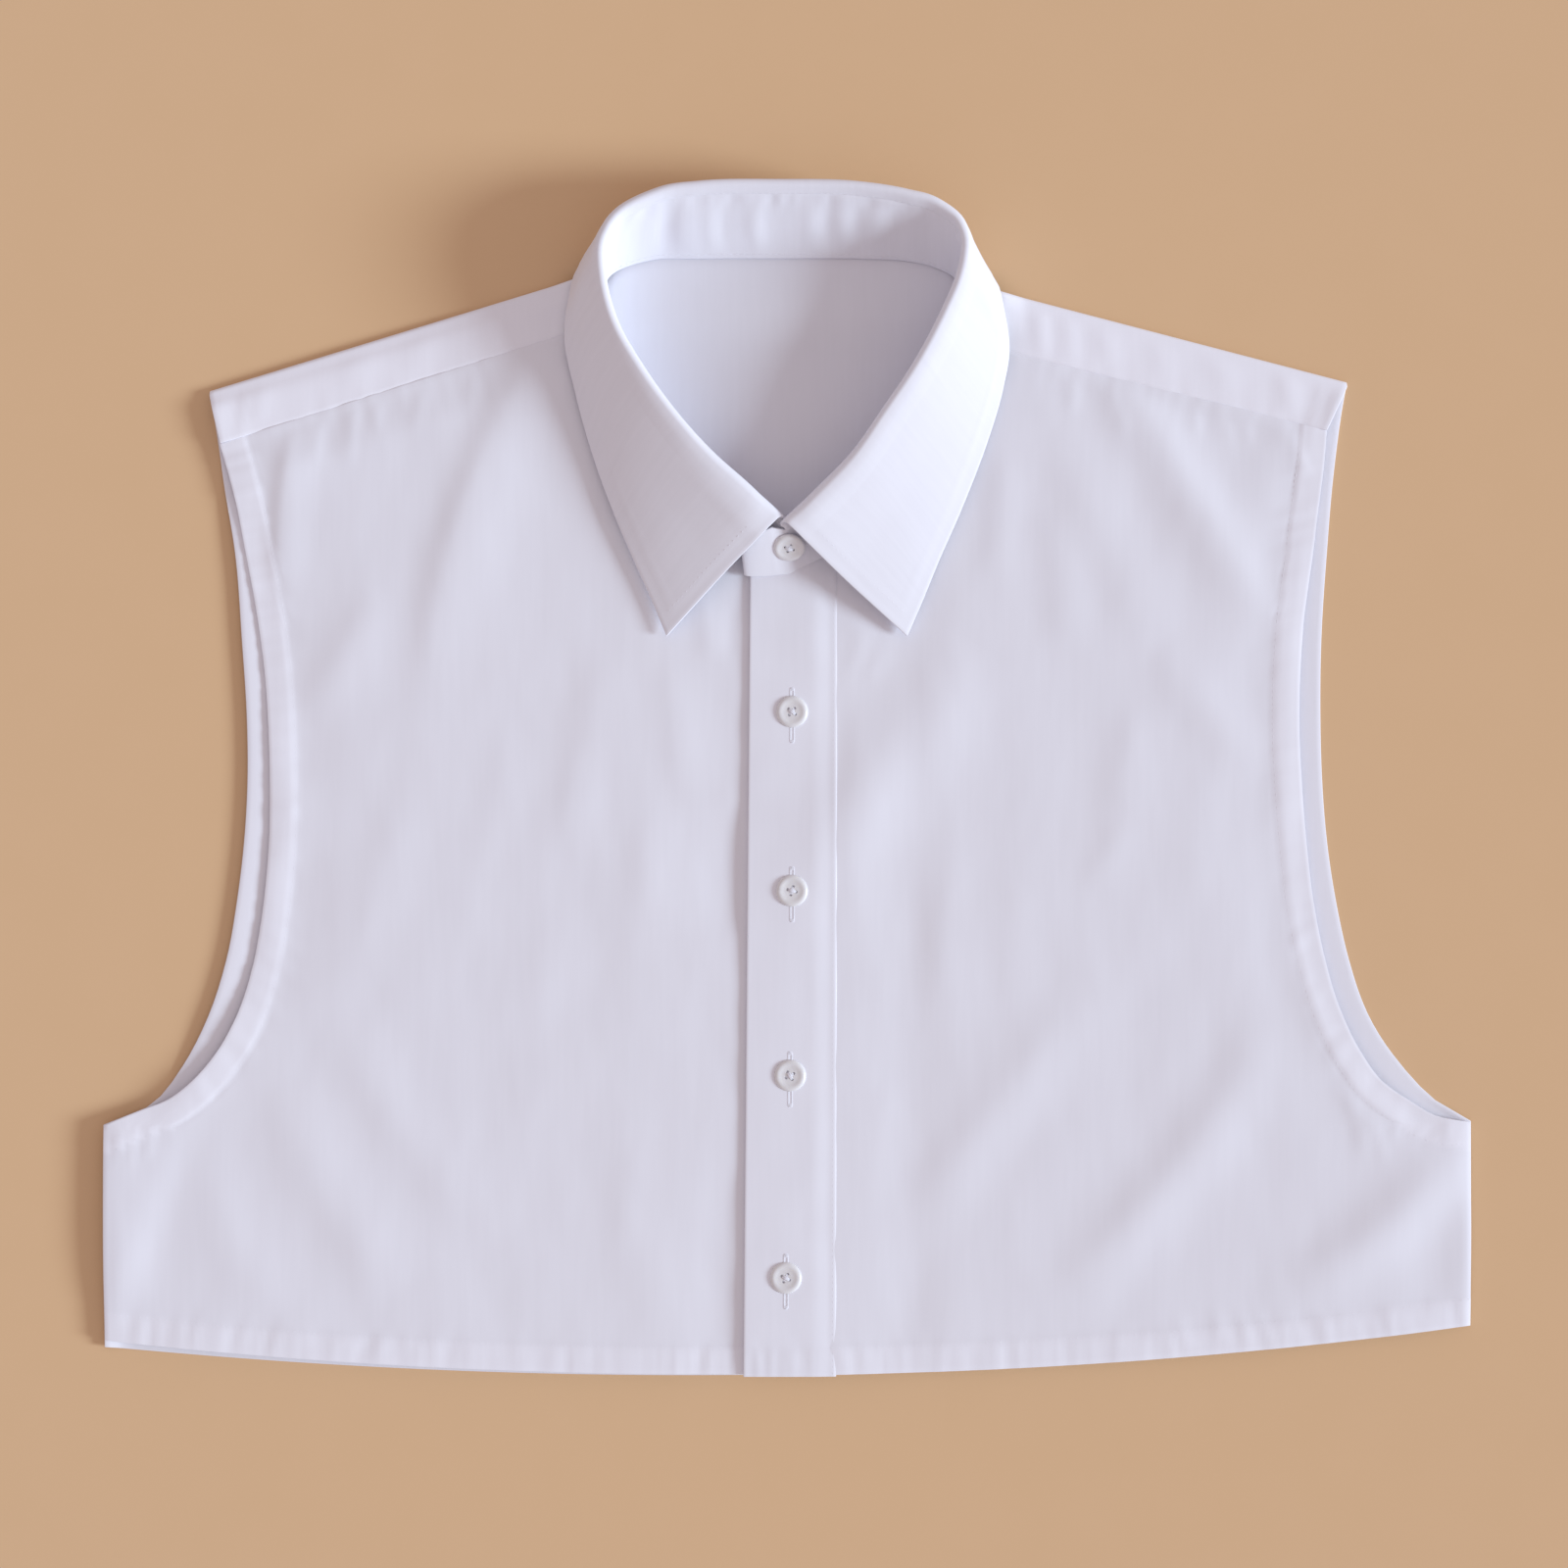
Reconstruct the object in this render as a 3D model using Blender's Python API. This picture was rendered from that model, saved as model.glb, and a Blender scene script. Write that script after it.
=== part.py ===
"""A sleeveless false shirt front with a turned-down collar, buttoned and laid flat, face up.

The frame is in metres, +Z up. It lies on the plane z = 0 with the collar towards +Y. The wearer's
left side is at +X. Lengths in the tables and functions below are in millimetres.
"""

import math

import bmesh
import bpy
import numpy as np

MM = 0.001

# Walls and gaps.
PANEL_WALL = 1.0  # poplin with its turned hems
STAND_WALL = 1.2  # interlined neckband
LEAF_WALL = 1.1  # interlined fall
SEAM_GAP = 0.3
COLLAR_SEAM_GAP = 0.45  # more on the tight curve of the collar, where the walls lean together

# Levels of the layers, from the surface up.
FRONT_LEVEL = 2.5  # top of the wearer's right front, over the back
SHOULDER_RISE = 1.1  # the fronts climb this much to meet the shoulder strips
LAP_RISE = 1.4  # the wearer's left front climbs over the right one
NECK_RISE = 2.1  # the collar's leaf lies under the back's neck edge
SHOULDER_FOLD_RADIUS = 1.8  # outside of the fold where the back turns over each shoulder
LOFT = 0.9  # ease of the fronts over the back

# Where those rises begin and end.
SHOULDER_CLIMB = (90.0, 130.0)  # y
LAP_CLIMB = (48.0, 22.0)  # x
NECK_CLIMB_ALONG = (148.0, 164.0)  # y
NECK_CLIMB_ACROSS = (86.0, 75.0)  # distance from the centre line
LOFT_INNER = (24.0, 60.0)  # distance from the centre line
LOFT_OUTER = (242.0, 215.0)
FOLDS_INNER = (24.0, 44.0)  # folds keep clear of the placket
FOLDS_OUTER = (243.0, 236.0)  # and of the side seams
SEAM_CLEARANCE = (150.0, 118.0)  # y, where folds fade before the shoulder seam
SEAM_SLOPE = 0.28
SEAM_NECK_X = 65.0

# The placket and its buttons.
PLACKET_LEFT_X = (-15.7, -13.3)  # bottom, top
PLACKET_RIGHT_X = (17.3, 17.7)
PLACKET_BOTTOM_Y = -213.6
PLACKET_TOP_Y = 71.2
BUTTON_DIAMETER = 11.5
BUTTON_THICKNESS = 2.3
BUTTON_STEPS = 24
BUTTON_PROFILE = (  # shares of the radius and of the thickness
    (0.0, 0.0),
    (0.86, 0.0),
    (1.0, 0.36),
    (0.97, 0.78),
    (0.84, 1.0),
    (0.68, 0.86),
    (0.54, 0.68),
    (0.0, 0.66),
)
BUTTON_PLACES = {  # x, y
    "button_1": (1.6, 23.1),
    "button_2": (1.6, -40.6),
    "button_3": (0.9, -106.4),
    "button_4": (-0.6, -178.4),
}

# The collar.
FOLD_RADIUS = 1.7  # middle of the wall, where the leaf rolls over the stand
LEAF_RISE = 4.0  # from the seam of stand and leaf up to the fold
LEAF_REST = 0.65  # middle of the leaf's wall where it lies on the surface
LEAF_BEND = 0.42  # share of the shorter side that the bend in the leaf rounds off
COLLAR_BUTTON_X = 0.8
COLLAR_BUTTON_HEIGHT = 0.47  # share of the stand's height at the centre front
NECK_EDGE_Y = 176.5  # the back's neck edge follows the stand's foot behind this
NECK_EDGE_X = 63.0  # and within this of the centre line

# How finely the tables are read.
SECTION_SPACING = 11.5
FRONT_COLUMNS = 20
PLACKET_ROWS = 26
PLACKET_COLUMNS = 4
STAND_ROWS = 4
COLLAR_SPACING = 7.5

# Rows go from the hem up to the shoulder seam, each across the panel.
# columns: inner x, inner y, outer x, outer y
RIGHT_FRONT_SECTIONS = (
    (16.5, -212.4, -243.2, -200.9),
    (16.5, -172.0, -243.5, -162.0),
    (16.5, -131.0, -243.4, -124.2),
    (16.5, -126.0, -229.8, -118.6),
    (16.5, -120.0, -221.2, -115.3),
    (16.5, -112.0, -213.2, -109.5),
    (16.5, -101.0, -204.6, -100.0),
    (16.5, -86.0, -197.0, -87.1),
    (16.5, -66.0, -191.2, -70.2),
    (16.5, -45.0, -187.3, -49.5),
    (16.5, -21.0, -184.8, -23.6),
    (16.5, 3.0, -184.5, 0.0),
    (16.5, 27.0, -185.1, 20.0),
    (16.5, 50.0, -186.4, 37.8),
    (16.5, 71.3, -188.0, 50.5),
    (0.0, 71.5, -188.8, 56.0),
    (-15.0, 78.9, -190.3, 65.0),
    (-29.0, 91.0, -192.2, 75.0),
    (-43.2, 106.6, -194.1, 85.0),
    (-55.7, 125.0, -196.3, 96.5),
    (-65.2, 142.4, -199.2, 108.0),
    (-69.5, 160.3, -202.2, 118.2),
)
LEFT_FRONT_SECTIONS = (
    (-15.1, -213.3, 243.4, -195.6),
    (-14.8, -172.0, 243.5, -160.0),
    (-14.5, -131.0, 243.5, -123.2),
    (-14.4, -126.0, 230.6, -120.6),
    (-14.4, -120.0, 221.0, -115.0),
    (-14.3, -112.0, 212.0, -108.6),
    (-14.2, -101.0, 204.5, -98.5),
    (-14.1, -85.0, 197.2, -83.6),
    (-13.9, -64.0, 191.1, -63.1),
    (-13.7, -43.0, 187.3, -43.4),
    (-13.5, -21.0, 185.0, -23.6),
    (-13.3, 3.0, 183.2, -1.0),
    (-13.1, 27.0, 182.4, 18.0),
    (-12.9, 49.0, 182.7, 36.0),
    (-12.7, 71.3, 183.8, 54.0),
    (1.0, 71.5, 184.3, 58.5),
    (15.9, 79.0, 185.6, 68.0),
    (30.2, 91.9, 187.2, 79.0),
    (43.6, 109.0, 188.5, 90.0),
    (54.5, 126.8, 190.0, 102.0),
    (62.8, 144.2, 191.2, 112.5),
    (66.0, 154.0, 192.0, 122.9),
)
FRONT_CORNERS = (2, 14)  # rows of the underarm tip and of the neckline's front corner
FRONT_HEM_DIP = 4.3  # the hem hangs this far below a straight line
BACK_HEM_DIP = 15.0
HEM_REACH = 80.0  # and rows straighten out over this height

# Rows go from the hem up to the shoulder tips, each from side to side.
# columns: left x, left y, right x, right y
BACK_SECTIONS = (
    (-243.5, -201.9, 243.5, -195.3),
    (-243.8, -163.0, 243.8, -160.0),
    (-243.7, -124.0, 243.8, -122.8),
    (-228.7, -118.1, 231.3, -115.5),
    (-215.8, -103.3, 216.0, -99.0),
    (-206.7, -85.8, 207.0, -84.4),
    (-200.2, -65.7, 200.6, -66.1),
    (-196.4, -45.0, 195.7, -44.1),
    (-193.8, -23.6, 192.6, -23.6),
    (-192.5, 1.0, 190.7, 1.0),
    (-192.8, 21.2, 190.2, 21.0),
    (-194.5, 47.9, 190.5, 47.9),
    (-197.2, 81.4, 192.7, 82.6),
    (-201.0, 104.0, 194.5, 104.0),
    (-203.0, 118.0, 196.2, 118.5),
    (-204.6, 128.0, 197.8, 130.0),
    (-206.0, 135.7, 199.4, 138.8),
)
BACK_CORNERS = (2,)
BACK_TOP_REACH = (21.0, 137.0)  # y, between which rows take up the shape of the upper edge
BACK_SPACING = 17.0
SHOULDER_COLUMNS = 9
NECK_COLUMNS = 16
SHOULDER_FOLD_ROWS = 4
STRIP_ROWS = 2

# columns: x, y of the shoulder fold's two ends, then of the forward shoulder seam's
SHOULDERS = {
    "right": ((-206.0, 137.5), (-67.4, 179.9), (-202.0, 118.6), (-69.3, 160.8)),
    "left": ((199.4, 140.6), (65.2, 175.7), (192.0, 123.2), (66.1, 154.4)),
}

# Soft folds. Each is a ridge along a line that fades out at both ends.
# columns: x and y of one end, x and y of the other, width, height
RIGHT_FRONT_FOLDS = (
    (-104.0, 132.0, -131.0, 26.0, 12.0, 1.9),
    (-143.0, 90.0, -172.0, 28.0, 11.0, 1.3),
    (-198.0, -116.0, -196.0, -192.0, 9.0, 1.7),
    (-219.0, -124.0, -228.0, -184.0, 7.0, 1.2),
    (-168.0, -140.0, -122.0, -184.0, 12.0, 1.4),
    (-76.0, 46.0, -86.0, -20.0, 13.0, 1.1),
    (-110.0, -40.0, -150.0, -100.0, 18.0, 0.8),
    (-188.0, -84.0, -188.0, 70.0, 13.0, 1.6),
)
LEFT_FRONT_FOLDS = (
    (133.0, 124.0, 176.0, 32.0, 9.5, 1.8),
    (98.0, 126.0, 122.0, 14.0, 10.0, 1.6),
    (68.0, 122.0, 82.0, 28.0, 11.0, 1.3),
    (48.0, 14.0, 28.0, -32.0, 9.0, 1.0),
    (238.0, -124.0, 204.0, -184.0, 9.0, 2.3),
    (178.0, -90.0, 128.0, -166.0, 15.0, 1.6),
    (112.0, -40.0, 92.0, -150.0, 15.0, 0.9),
    (186.0, -84.0, 184.0, 80.0, 11.0, 1.2),
)

# Round the neck from the centre front of the wearer's right side, by the back, to that of the left.
# columns: x, y, z of the stand's foot, of the fold, of the bend in the leaf and of its edge
COLLAR_SECTIONS = (
    (0.0, 72.3, 2.0, -3.0, 91.2, 18.0, -23.1, 71.2, 15.3, -42.9, 49.9, 7.5),
    (-14.5, 79.7, 2.2, -14.2, 102.3, 19.5, -31.5, 83.5, 16.0, -48.2, 62.5, 7.6),
    (-28.5, 91.8, 2.6, -26.2, 112.9, 21.0, -40.5, 95.0, 17.0, -54.0, 75.5, 7.8),
    (-42.0, 107.5, 3.0, -39.2, 127.0, 23.0, -51.5, 112.0, 18.3, -62.0, 94.5, 8.2),
    (-54.3, 125.8, 3.2, -52.1, 144.6, 24.5, -62.5, 131.5, 19.5, -69.6, 116.0, 8.5),
    (-63.6, 143.0, 3.6, -61.3, 161.3, 25.0, -70.6, 150.5, 19.5, -75.4, 137.5, 8.5),
    (-67.6, 157.5, 4.8, -65.1, 175.8, 25.0, -73.6, 166.0, 18.5, -78.9, 155.3, 8.4),
    (-67.0, 168.3, 5.4, -65.9, 186.3, 24.5, -73.2, 178.0, 14.8, -77.6, 168.3, 8.2),
    (-65.5, 174.3, 5.1, -64.2, 192.0, 24.0, -70.5, 186.0, 11.0, -74.6, 180.0, 5.1),
    (-64.1, 177.4, 4.6, -62.2, 195.7, 23.5, -68.0, 187.0, 5.6, -71.4, 181.9, 2.4),
    (-61.8, 179.6, 3.9, -59.3, 199.0, 23.0, -64.5, 186.0, 1.5, -66.5, 178.6, 0.7),
    (-48.5, 184.2, 3.1, -45.3, 206.3, 22.0, -49.5, 187.6, 0.8, -54.0, 173.0, 0.7),
    (-32.0, 184.7, 3.0, -31.5, 208.7, 21.5, -32.5, 187.2, 0.7, -34.0, 172.0, 0.7),
    (-3.0, 184.8, 3.0, -3.0, 209.4, 21.0, -3.0, 187.0, 0.7, -3.0, 172.0, 0.7),
    (27.0, 184.7, 3.0, 25.5, 208.5, 21.5, 27.0, 187.2, 0.7, 28.5, 172.0, 0.7),
    (43.5, 183.7, 3.1, 42.0, 205.7, 22.0, 44.5, 187.1, 0.8, 48.5, 173.0, 0.7),
    (53.0, 181.4, 3.4, 52.2, 202.6, 22.4, 55.5, 185.6, 0.9, 60.0, 173.5, 0.7),
    (58.9, 178.4, 4.0, 58.9, 197.9, 22.9, 62.2, 183.4, 1.5, 64.6, 174.8, 0.7),
    (61.3, 175.5, 4.6, 61.2, 194.4, 23.4, 66.8, 184.2, 5.6, 70.2, 178.0, 2.4),
    (63.0, 172.2, 5.1, 62.5, 190.4, 23.9, 69.2, 182.4, 11.0, 73.8, 176.0, 5.1),
    (64.6, 165.5, 5.4, 62.3, 184.2, 24.5, 71.0, 174.6, 15.0, 76.9, 164.0, 8.2),
    (65.0, 157.0, 4.9, 60.2, 175.6, 25.0, 71.4, 163.0, 18.5, 78.6, 152.0, 8.4),
    (61.6, 145.0, 3.8, 55.5, 164.6, 25.0, 68.0, 149.5, 19.5, 76.6, 138.5, 8.5),
    (53.3, 127.3, 3.5, 46.3, 147.0, 24.5, 60.0, 131.0, 19.5, 70.8, 118.5, 8.5),
    (42.5, 109.6, 3.3, 34.5, 129.4, 23.0, 48.5, 112.5, 18.3, 62.1, 95.7, 8.2),
    (29.5, 92.8, 3.4, 22.6, 112.9, 21.0, 38.5, 95.0, 17.0, 53.5, 76.0, 7.8),
    (15.3, 80.0, 3.9, 10.6, 100.7, 19.6, 29.5, 82.5, 16.3, 47.8, 62.0, 7.6),
    (1.0, 72.4, 4.1, -0.7, 89.5, 18.9, 20.6, 69.4, 16.2, 42.5, 49.9, 7.5),
)
# The stand runs on past the centre front at both ends, as a rounded tab.
# columns: x, y, z of the tab's foot, share of the stand's height that is left there
UNDER_TAB = (
    (13.4, 78.2, 1.9, 0.34),
    (11.6, 77.2, 1.9, 0.62),
    (8.4, 75.4, 1.9, 0.85),
    (4.4, 73.5, 2.0, 0.97),
)
OVER_TAB = (
    (-3.5, 72.2, 4.2, 0.95),
    (-7.8, 72.1, 4.3, 0.83),
    (-11.6, 72.0, 4.4, 0.62),
    (-14.2, 72.0, 4.4, 0.28),
)

# The whole part is moved so that the middle of its box lies on the origin.
CENTRE_X = 0.01
CENTRE_Y = -1.71


def ease(start, end, value):
    """0 at start, 1 at end, with no kink between them."""
    share = np.clip((np.asarray(value, float) - start) / (end - start), 0.0, 1.0)
    return share * share * (3.0 - 2.0 * share)


def unit(vectors):
    return vectors / np.linalg.norm(vectors, axis=-1, keepdims=True)


def smooth_rows(table, spacing, corners=(), measure=None):
    """The table's rows with more between them, on smooth curves that break at the corners."""
    rows = np.array(table, float)
    chord = np.linalg.norm(np.diff(rows, axis=0), axis=1)
    place = np.concatenate([[0.0], np.cumsum(chord)])
    slope = np.gradient(rows, place, axis=0)
    measured = rows if measure is None else measure(rows)
    result = [rows[0]]
    for index, width in enumerate(chord):
        straight = (rows[index + 1] - rows[index]) / width
        leaving = straight if index in corners else slope[index]
        arriving = straight if index + 1 in corners else slope[index + 1]
        span = np.linalg.norm(measured[index + 1] - measured[index])
        steps = max(1, round(span / spacing))
        for step in range(1, steps + 1):
            t = step / steps
            result.append(
                (2 * t**3 - 3 * t**2 + 1) * rows[index]
                + (t**3 - 2 * t**2 + t) * width * leaving
                + (3 * t**2 - 2 * t**3) * rows[index + 1]
                + (t**3 - t**2) * width * arriving
            )
    return np.array(result)


def middle_of_section(rows):
    return (rows[:, 0:2] + rows[:, 2:4]) / 2


def fold_height(folds, x, y):
    """Sum of the soft ridges at a place."""
    total = np.zeros_like(x)
    for x0, y0, x1, y1, width, height in folds:
        length = math.hypot(x1 - x0, y1 - y0)
        along = ((x - x0) * (x1 - x0) + (y - y0) * (y1 - y0)) / length**2
        off = ((x - x0) * (y1 - y0) - (y - y0) * (x1 - x0)) / length
        total += height * np.exp(-((off / width) ** 2) - 2.0 * (2.0 * along - 1.0) ** 4)
    return total


def neck_rise(x, y):
    """How much the back, and all that lies on it, is lifted by the leaf under its neck edge."""
    return NECK_RISE * ease(*NECK_CLIMB_ALONG, y) * ease(*NECK_CLIMB_ACROSS, np.abs(x))


def front_top(folds, x, y):
    """Height of a front's outer face."""
    out = np.abs(x)
    top = FRONT_LEVEL + SHOULDER_RISE * ease(*SHOULDER_CLIMB, y) + neck_rise(x, y)
    loft = LOFT * ease(*LOFT_INNER, out) * ease(*LOFT_OUTER, out)
    free = ease(*FOLDS_INNER, out) * ease(*FOLDS_OUTER, out)
    clear_of_seam = ease(*SEAM_CLEARANCE, y + SEAM_SLOPE * (out - SEAM_NECK_X))
    return top + (loft + fold_height(folds, x, y)) * free * clear_of_seam


def left_front_top(x, y):
    return front_top(LEFT_FRONT_FOLDS, x, y) + LAP_RISE * ease(*LAP_CLIMB, x)


def right_front_top(x, y):
    return front_top(RIGHT_FRONT_FOLDS, x, y)


def new_material(name, colour, roughness):
    material = bpy.data.materials.new(name)
    material.use_nodes = True
    shader = material.node_tree.nodes["Principled BSDF"]
    shader.inputs["Base Color"].default_value = (*colour, 1.0)
    shader.inputs["Roughness"].default_value = roughness
    shader.inputs["Metallic"].default_value = 0.0
    return material


def new_object(name, bm, material):
    """An object whose mesh is in metres, with the middle of the part's box on the origin."""
    for vertex in bm.verts:
        vertex.co.x = (vertex.co.x - CENTRE_X) * MM
        vertex.co.y = (vertex.co.y - CENTRE_Y) * MM
        vertex.co.z *= MM
    mesh = bpy.data.meshes.new(name)
    bm.to_mesh(mesh)
    bm.free()
    mesh.shade_smooth()
    mesh.set_sharp_from_angle(angle=math.radians(50.0))
    mesh.materials.append(material)
    made = bpy.data.objects.new(name, mesh)
    bpy.context.scene.collection.objects.link(made)
    return made


def cloth_sheet(name, points, wall, offset, material, flip=False, keep=None):
    """A grid of points, row by row, given a wall. Offset -1 puts the wall behind the face."""
    rows, columns = points.shape[:2]
    bm = bmesh.new()
    bmesh.ops.create_grid(bm, x_segments=columns - 1, y_segments=rows - 1, size=1.0)
    bm.verts.ensure_lookup_table()
    for vertex, place in zip(bm.verts, points.reshape(-1, 3)):
        vertex.co = place
    if keep is not None:
        bm.faces.ensure_lookup_table()
        dropped = [
            face
            for face, index in zip(bm.faces, np.ndindex(rows - 1, columns - 1))
            if not keep(*index)
        ]
        bmesh.ops.delete(bm, geom=dropped, context="FACES")
    if flip:
        bmesh.ops.reverse_faces(bm, faces=bm.faces)
    sheet = new_object(name, bm, material)
    solidify = sheet.modifiers.new("wall", "SOLIDIFY")
    solidify.thickness = wall * MM
    solidify.offset = offset
    solidify.use_even_offset = True
    return sheet


def spread(rows, across, dip):
    """x and y at the given shares of each section, with the hem's hang."""
    x = rows[:, 0:1] + (rows[:, 2:3] - rows[:, 0:1]) * across
    y = rows[:, 1:2] + (rows[:, 3:4] - rows[:, 1:2]) * across
    hang = np.clip(1.0 - (rows[:, 1:2] - rows[0, 1]) / HEM_REACH, 0.0, 1.0) ** 2
    return x, y - dip * 4.0 * across * (1.0 - across) * hang


def front_points(sections, top):
    """Outer face of a front, at the height of its layer."""
    rows = smooth_rows(sections, SECTION_SPACING, FRONT_CORNERS, middle_of_section)
    x, y = spread(rows, np.linspace(0.0, 1.0, FRONT_COLUMNS + 1), FRONT_HEM_DIP)
    return np.stack([x, y, top(x, y)], axis=-1)


def straight(ends, x):
    """Height in y of the line through two ends, at x."""
    (x0, y0), (x1, y1) = ends
    return y0 + (y1 - y0) * (x - x0) / (x1 - x0)


def back_top_y(x, neck):
    """Upper edge of the back's lower layer: a shoulder, the neckline, the other shoulder."""
    right_tip, right_neck = SHOULDERS["right"][:2]
    left_tip, left_neck = SHOULDERS["left"][:2]
    shoulder = np.where(
        x < 0.0, straight((right_tip, right_neck), x), straight((left_tip, left_neck), x)
    )
    inside = (x > right_neck[0] + 0.5) & (x < left_neck[0] - 0.5)
    return np.where(inside, np.interp(x, *neck), shoulder - SHOULDER_FOLD_RADIUS)


def back_columns():
    """Shares of the width at which the back's columns stand, with one at each side of the neck."""
    tip_right, neck_right = SHOULDERS["right"][0][0], SHOULDERS["right"][1][0]
    tip_left, neck_left = SHOULDERS["left"][0][0], SHOULDERS["left"][1][0]
    x = np.concatenate(
        [
            np.linspace(tip_right, neck_right, SHOULDER_COLUMNS + 1),
            np.linspace(neck_right, neck_left, NECK_COLUMNS + 1)[1:-1],
            np.linspace(neck_left, tip_left, SHOULDER_COLUMNS + 1),
        ]
    )
    return (x - tip_right) / (tip_left - tip_right)


def strip_points(x, side):
    """The shoulder's fold and the strip in front of it, from the lower layer's edge to the seam."""
    tip, neck, seam_tip, seam_neck = SHOULDERS[side]
    fold_y = straight((tip, neck), x)
    radius = SHOULDER_FOLD_RADIUS
    share = (x - tip[0]) / (neck[0] - tip[0])
    seam_x = seam_tip[0] + share * (seam_neck[0] - seam_tip[0])
    seam_y = straight((seam_tip, seam_neck), seam_x)
    rise = neck_rise(x, fold_y - radius)
    rows = []
    for angle in np.linspace(0.0, math.pi, SHOULDER_FOLD_ROWS + 1)[1:]:
        y = fold_y - radius + radius * math.sin(angle)
        rows.append(np.stack([x, y, rise + radius * (1.0 - math.cos(angle))], axis=-1))
    for step in range(1, STRIP_ROWS + 1):
        part = step / STRIP_ROWS
        x_here = x + part * (seam_x - x)
        y_here = fold_y - radius + part * (seam_y - fold_y + radius)
        z_here = 2.0 * radius + neck_rise(x_here, y_here)
        rows.append(np.stack([x_here, y_here, z_here], axis=-1))
    return np.array(rows)


def back_points(neck):
    """Outside of the back: face down on the surface, then over each shoulder."""
    rows = smooth_rows(BACK_SECTIONS, BACK_SPACING, BACK_CORNERS, middle_of_section)
    x, y = spread(rows, back_columns(), BACK_HEM_DIP)
    low, high = BACK_TOP_REACH
    y = y + np.clip((y - low) / (high - low), 0.0, 1.0) * (back_top_y(x[-1], neck) - y[-1])
    body = np.stack([x, y, neck_rise(x, y)], axis=-1)
    top_x = body[-1, :, 0]
    strips = np.where(
        (top_x < 0.0)[None, :, None], strip_points(top_x, "right"), strip_points(top_x, "left")
    )
    return body, np.concatenate([body, strips])


def collar_frames(rows):
    """Foot, fold, bend and edge of each section, with the directions up the stand and outwards."""
    foot, fold, bend, edge = (rows[:, 3 * k : 3 * k + 3] for k in range(4))
    up = unit(fold - foot)
    around = unit(np.gradient((foot + fold) / 2, axis=0))
    out = unit(np.cross(up, around))
    return foot, fold, bend, edge, up, out


def stand_line(foot, fold, up, out):
    """Top of the stand: below the fold, and inside it by the roll's radius."""
    turn = fold - FOLD_RADIUS * up - FOLD_RADIUS * out
    rise = unit(turn - foot)
    return turn, rise, turn - (LEAF_RISE - FOLD_RADIUS) * rise


def stand_points(rows):
    foot, fold, _, _, up, out = collar_frames(rows)
    _, _, top = stand_line(foot, fold, up, out)
    under = np.array(UNDER_TAB)
    over = np.array(OVER_TAB)
    foot_line = np.concatenate([under[:, :3], foot, over[:, :3]])
    height = np.concatenate(
        [
            under[:, 3:] * (top[0] - foot[0]),
            top - foot,
            over[:, 3:] * (top[-1] - foot[-1]),
        ]
    )
    shares = np.linspace(0.0, 1.0, STAND_ROWS + 1)
    return foot_line[:, None, :] + height[:, None, :] * shares[None, :, None]


def leaf_points(rows):
    """Each section rises from the stand, rolls over the fold and falls to the leaf's edge."""
    foot, fold, bend, edge, up, out = collar_frames(rows)
    turn, rise, top = stand_line(foot, fold, up, out)
    centre = fold - FOLD_RADIUS * up
    fall = bend - fold
    last = np.arctan2((fall * out).sum(axis=1), (fall * up).sum(axis=1))
    last = np.where(last < 0.0, last + 2.0 * math.pi, last)[:, None]
    lines = [top + COLLAR_SEAM_GAP * rise, turn]
    for share in (0.25, 0.5, 0.75, 1.0):
        angle = last * share
        lines.append(centre + FOLD_RADIUS * (up * np.sin(angle) - out * np.cos(angle)))
    start = lines[-1]
    first_run = np.linalg.norm(start - bend, axis=1, keepdims=True)
    last_run = np.linalg.norm(edge - bend, axis=1, keepdims=True)
    cut = LEAF_BEND * np.minimum(first_run, last_run)
    back_along = unit(start - bend)
    on_along = unit(edge - bend)
    lines.append((start + bend + cut * back_along) / 2)
    lines.append(bend + cut * back_along)
    lines.append(bend + cut * (back_along + on_along) / 4)
    lines.append(bend + cut * on_along)
    lines.append((edge + bend + cut * on_along) / 2)
    lines.append(edge)
    points = np.stack(lines, axis=1)
    points[:, :, 2] = np.maximum(points[:, :, 2], LEAF_REST)
    return points


def placket_points():
    """A strip on the wearer's left front, made from its height, moved out."""
    y = np.linspace(PLACKET_BOTTOM_Y, PLACKET_TOP_Y, PLACKET_ROWS + 1)[:, None]
    share = (y - PLACKET_BOTTOM_Y) / (PLACKET_TOP_Y - PLACKET_BOTTOM_Y)
    left = PLACKET_LEFT_X[0] + (PLACKET_LEFT_X[1] - PLACKET_LEFT_X[0]) * share
    right = PLACKET_RIGHT_X[0] + (PLACKET_RIGHT_X[1] - PLACKET_RIGHT_X[0]) * share
    x = left + (right - left) * np.linspace(0.0, 1.0, PLACKET_COLUMNS + 1)
    y = np.broadcast_to(y, x.shape)
    return np.stack([x, y, placket_top(x, y)], axis=-1)


def placket_top(x, y):
    return left_front_top(x, y) + SEAM_GAP + PANEL_WALL


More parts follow.
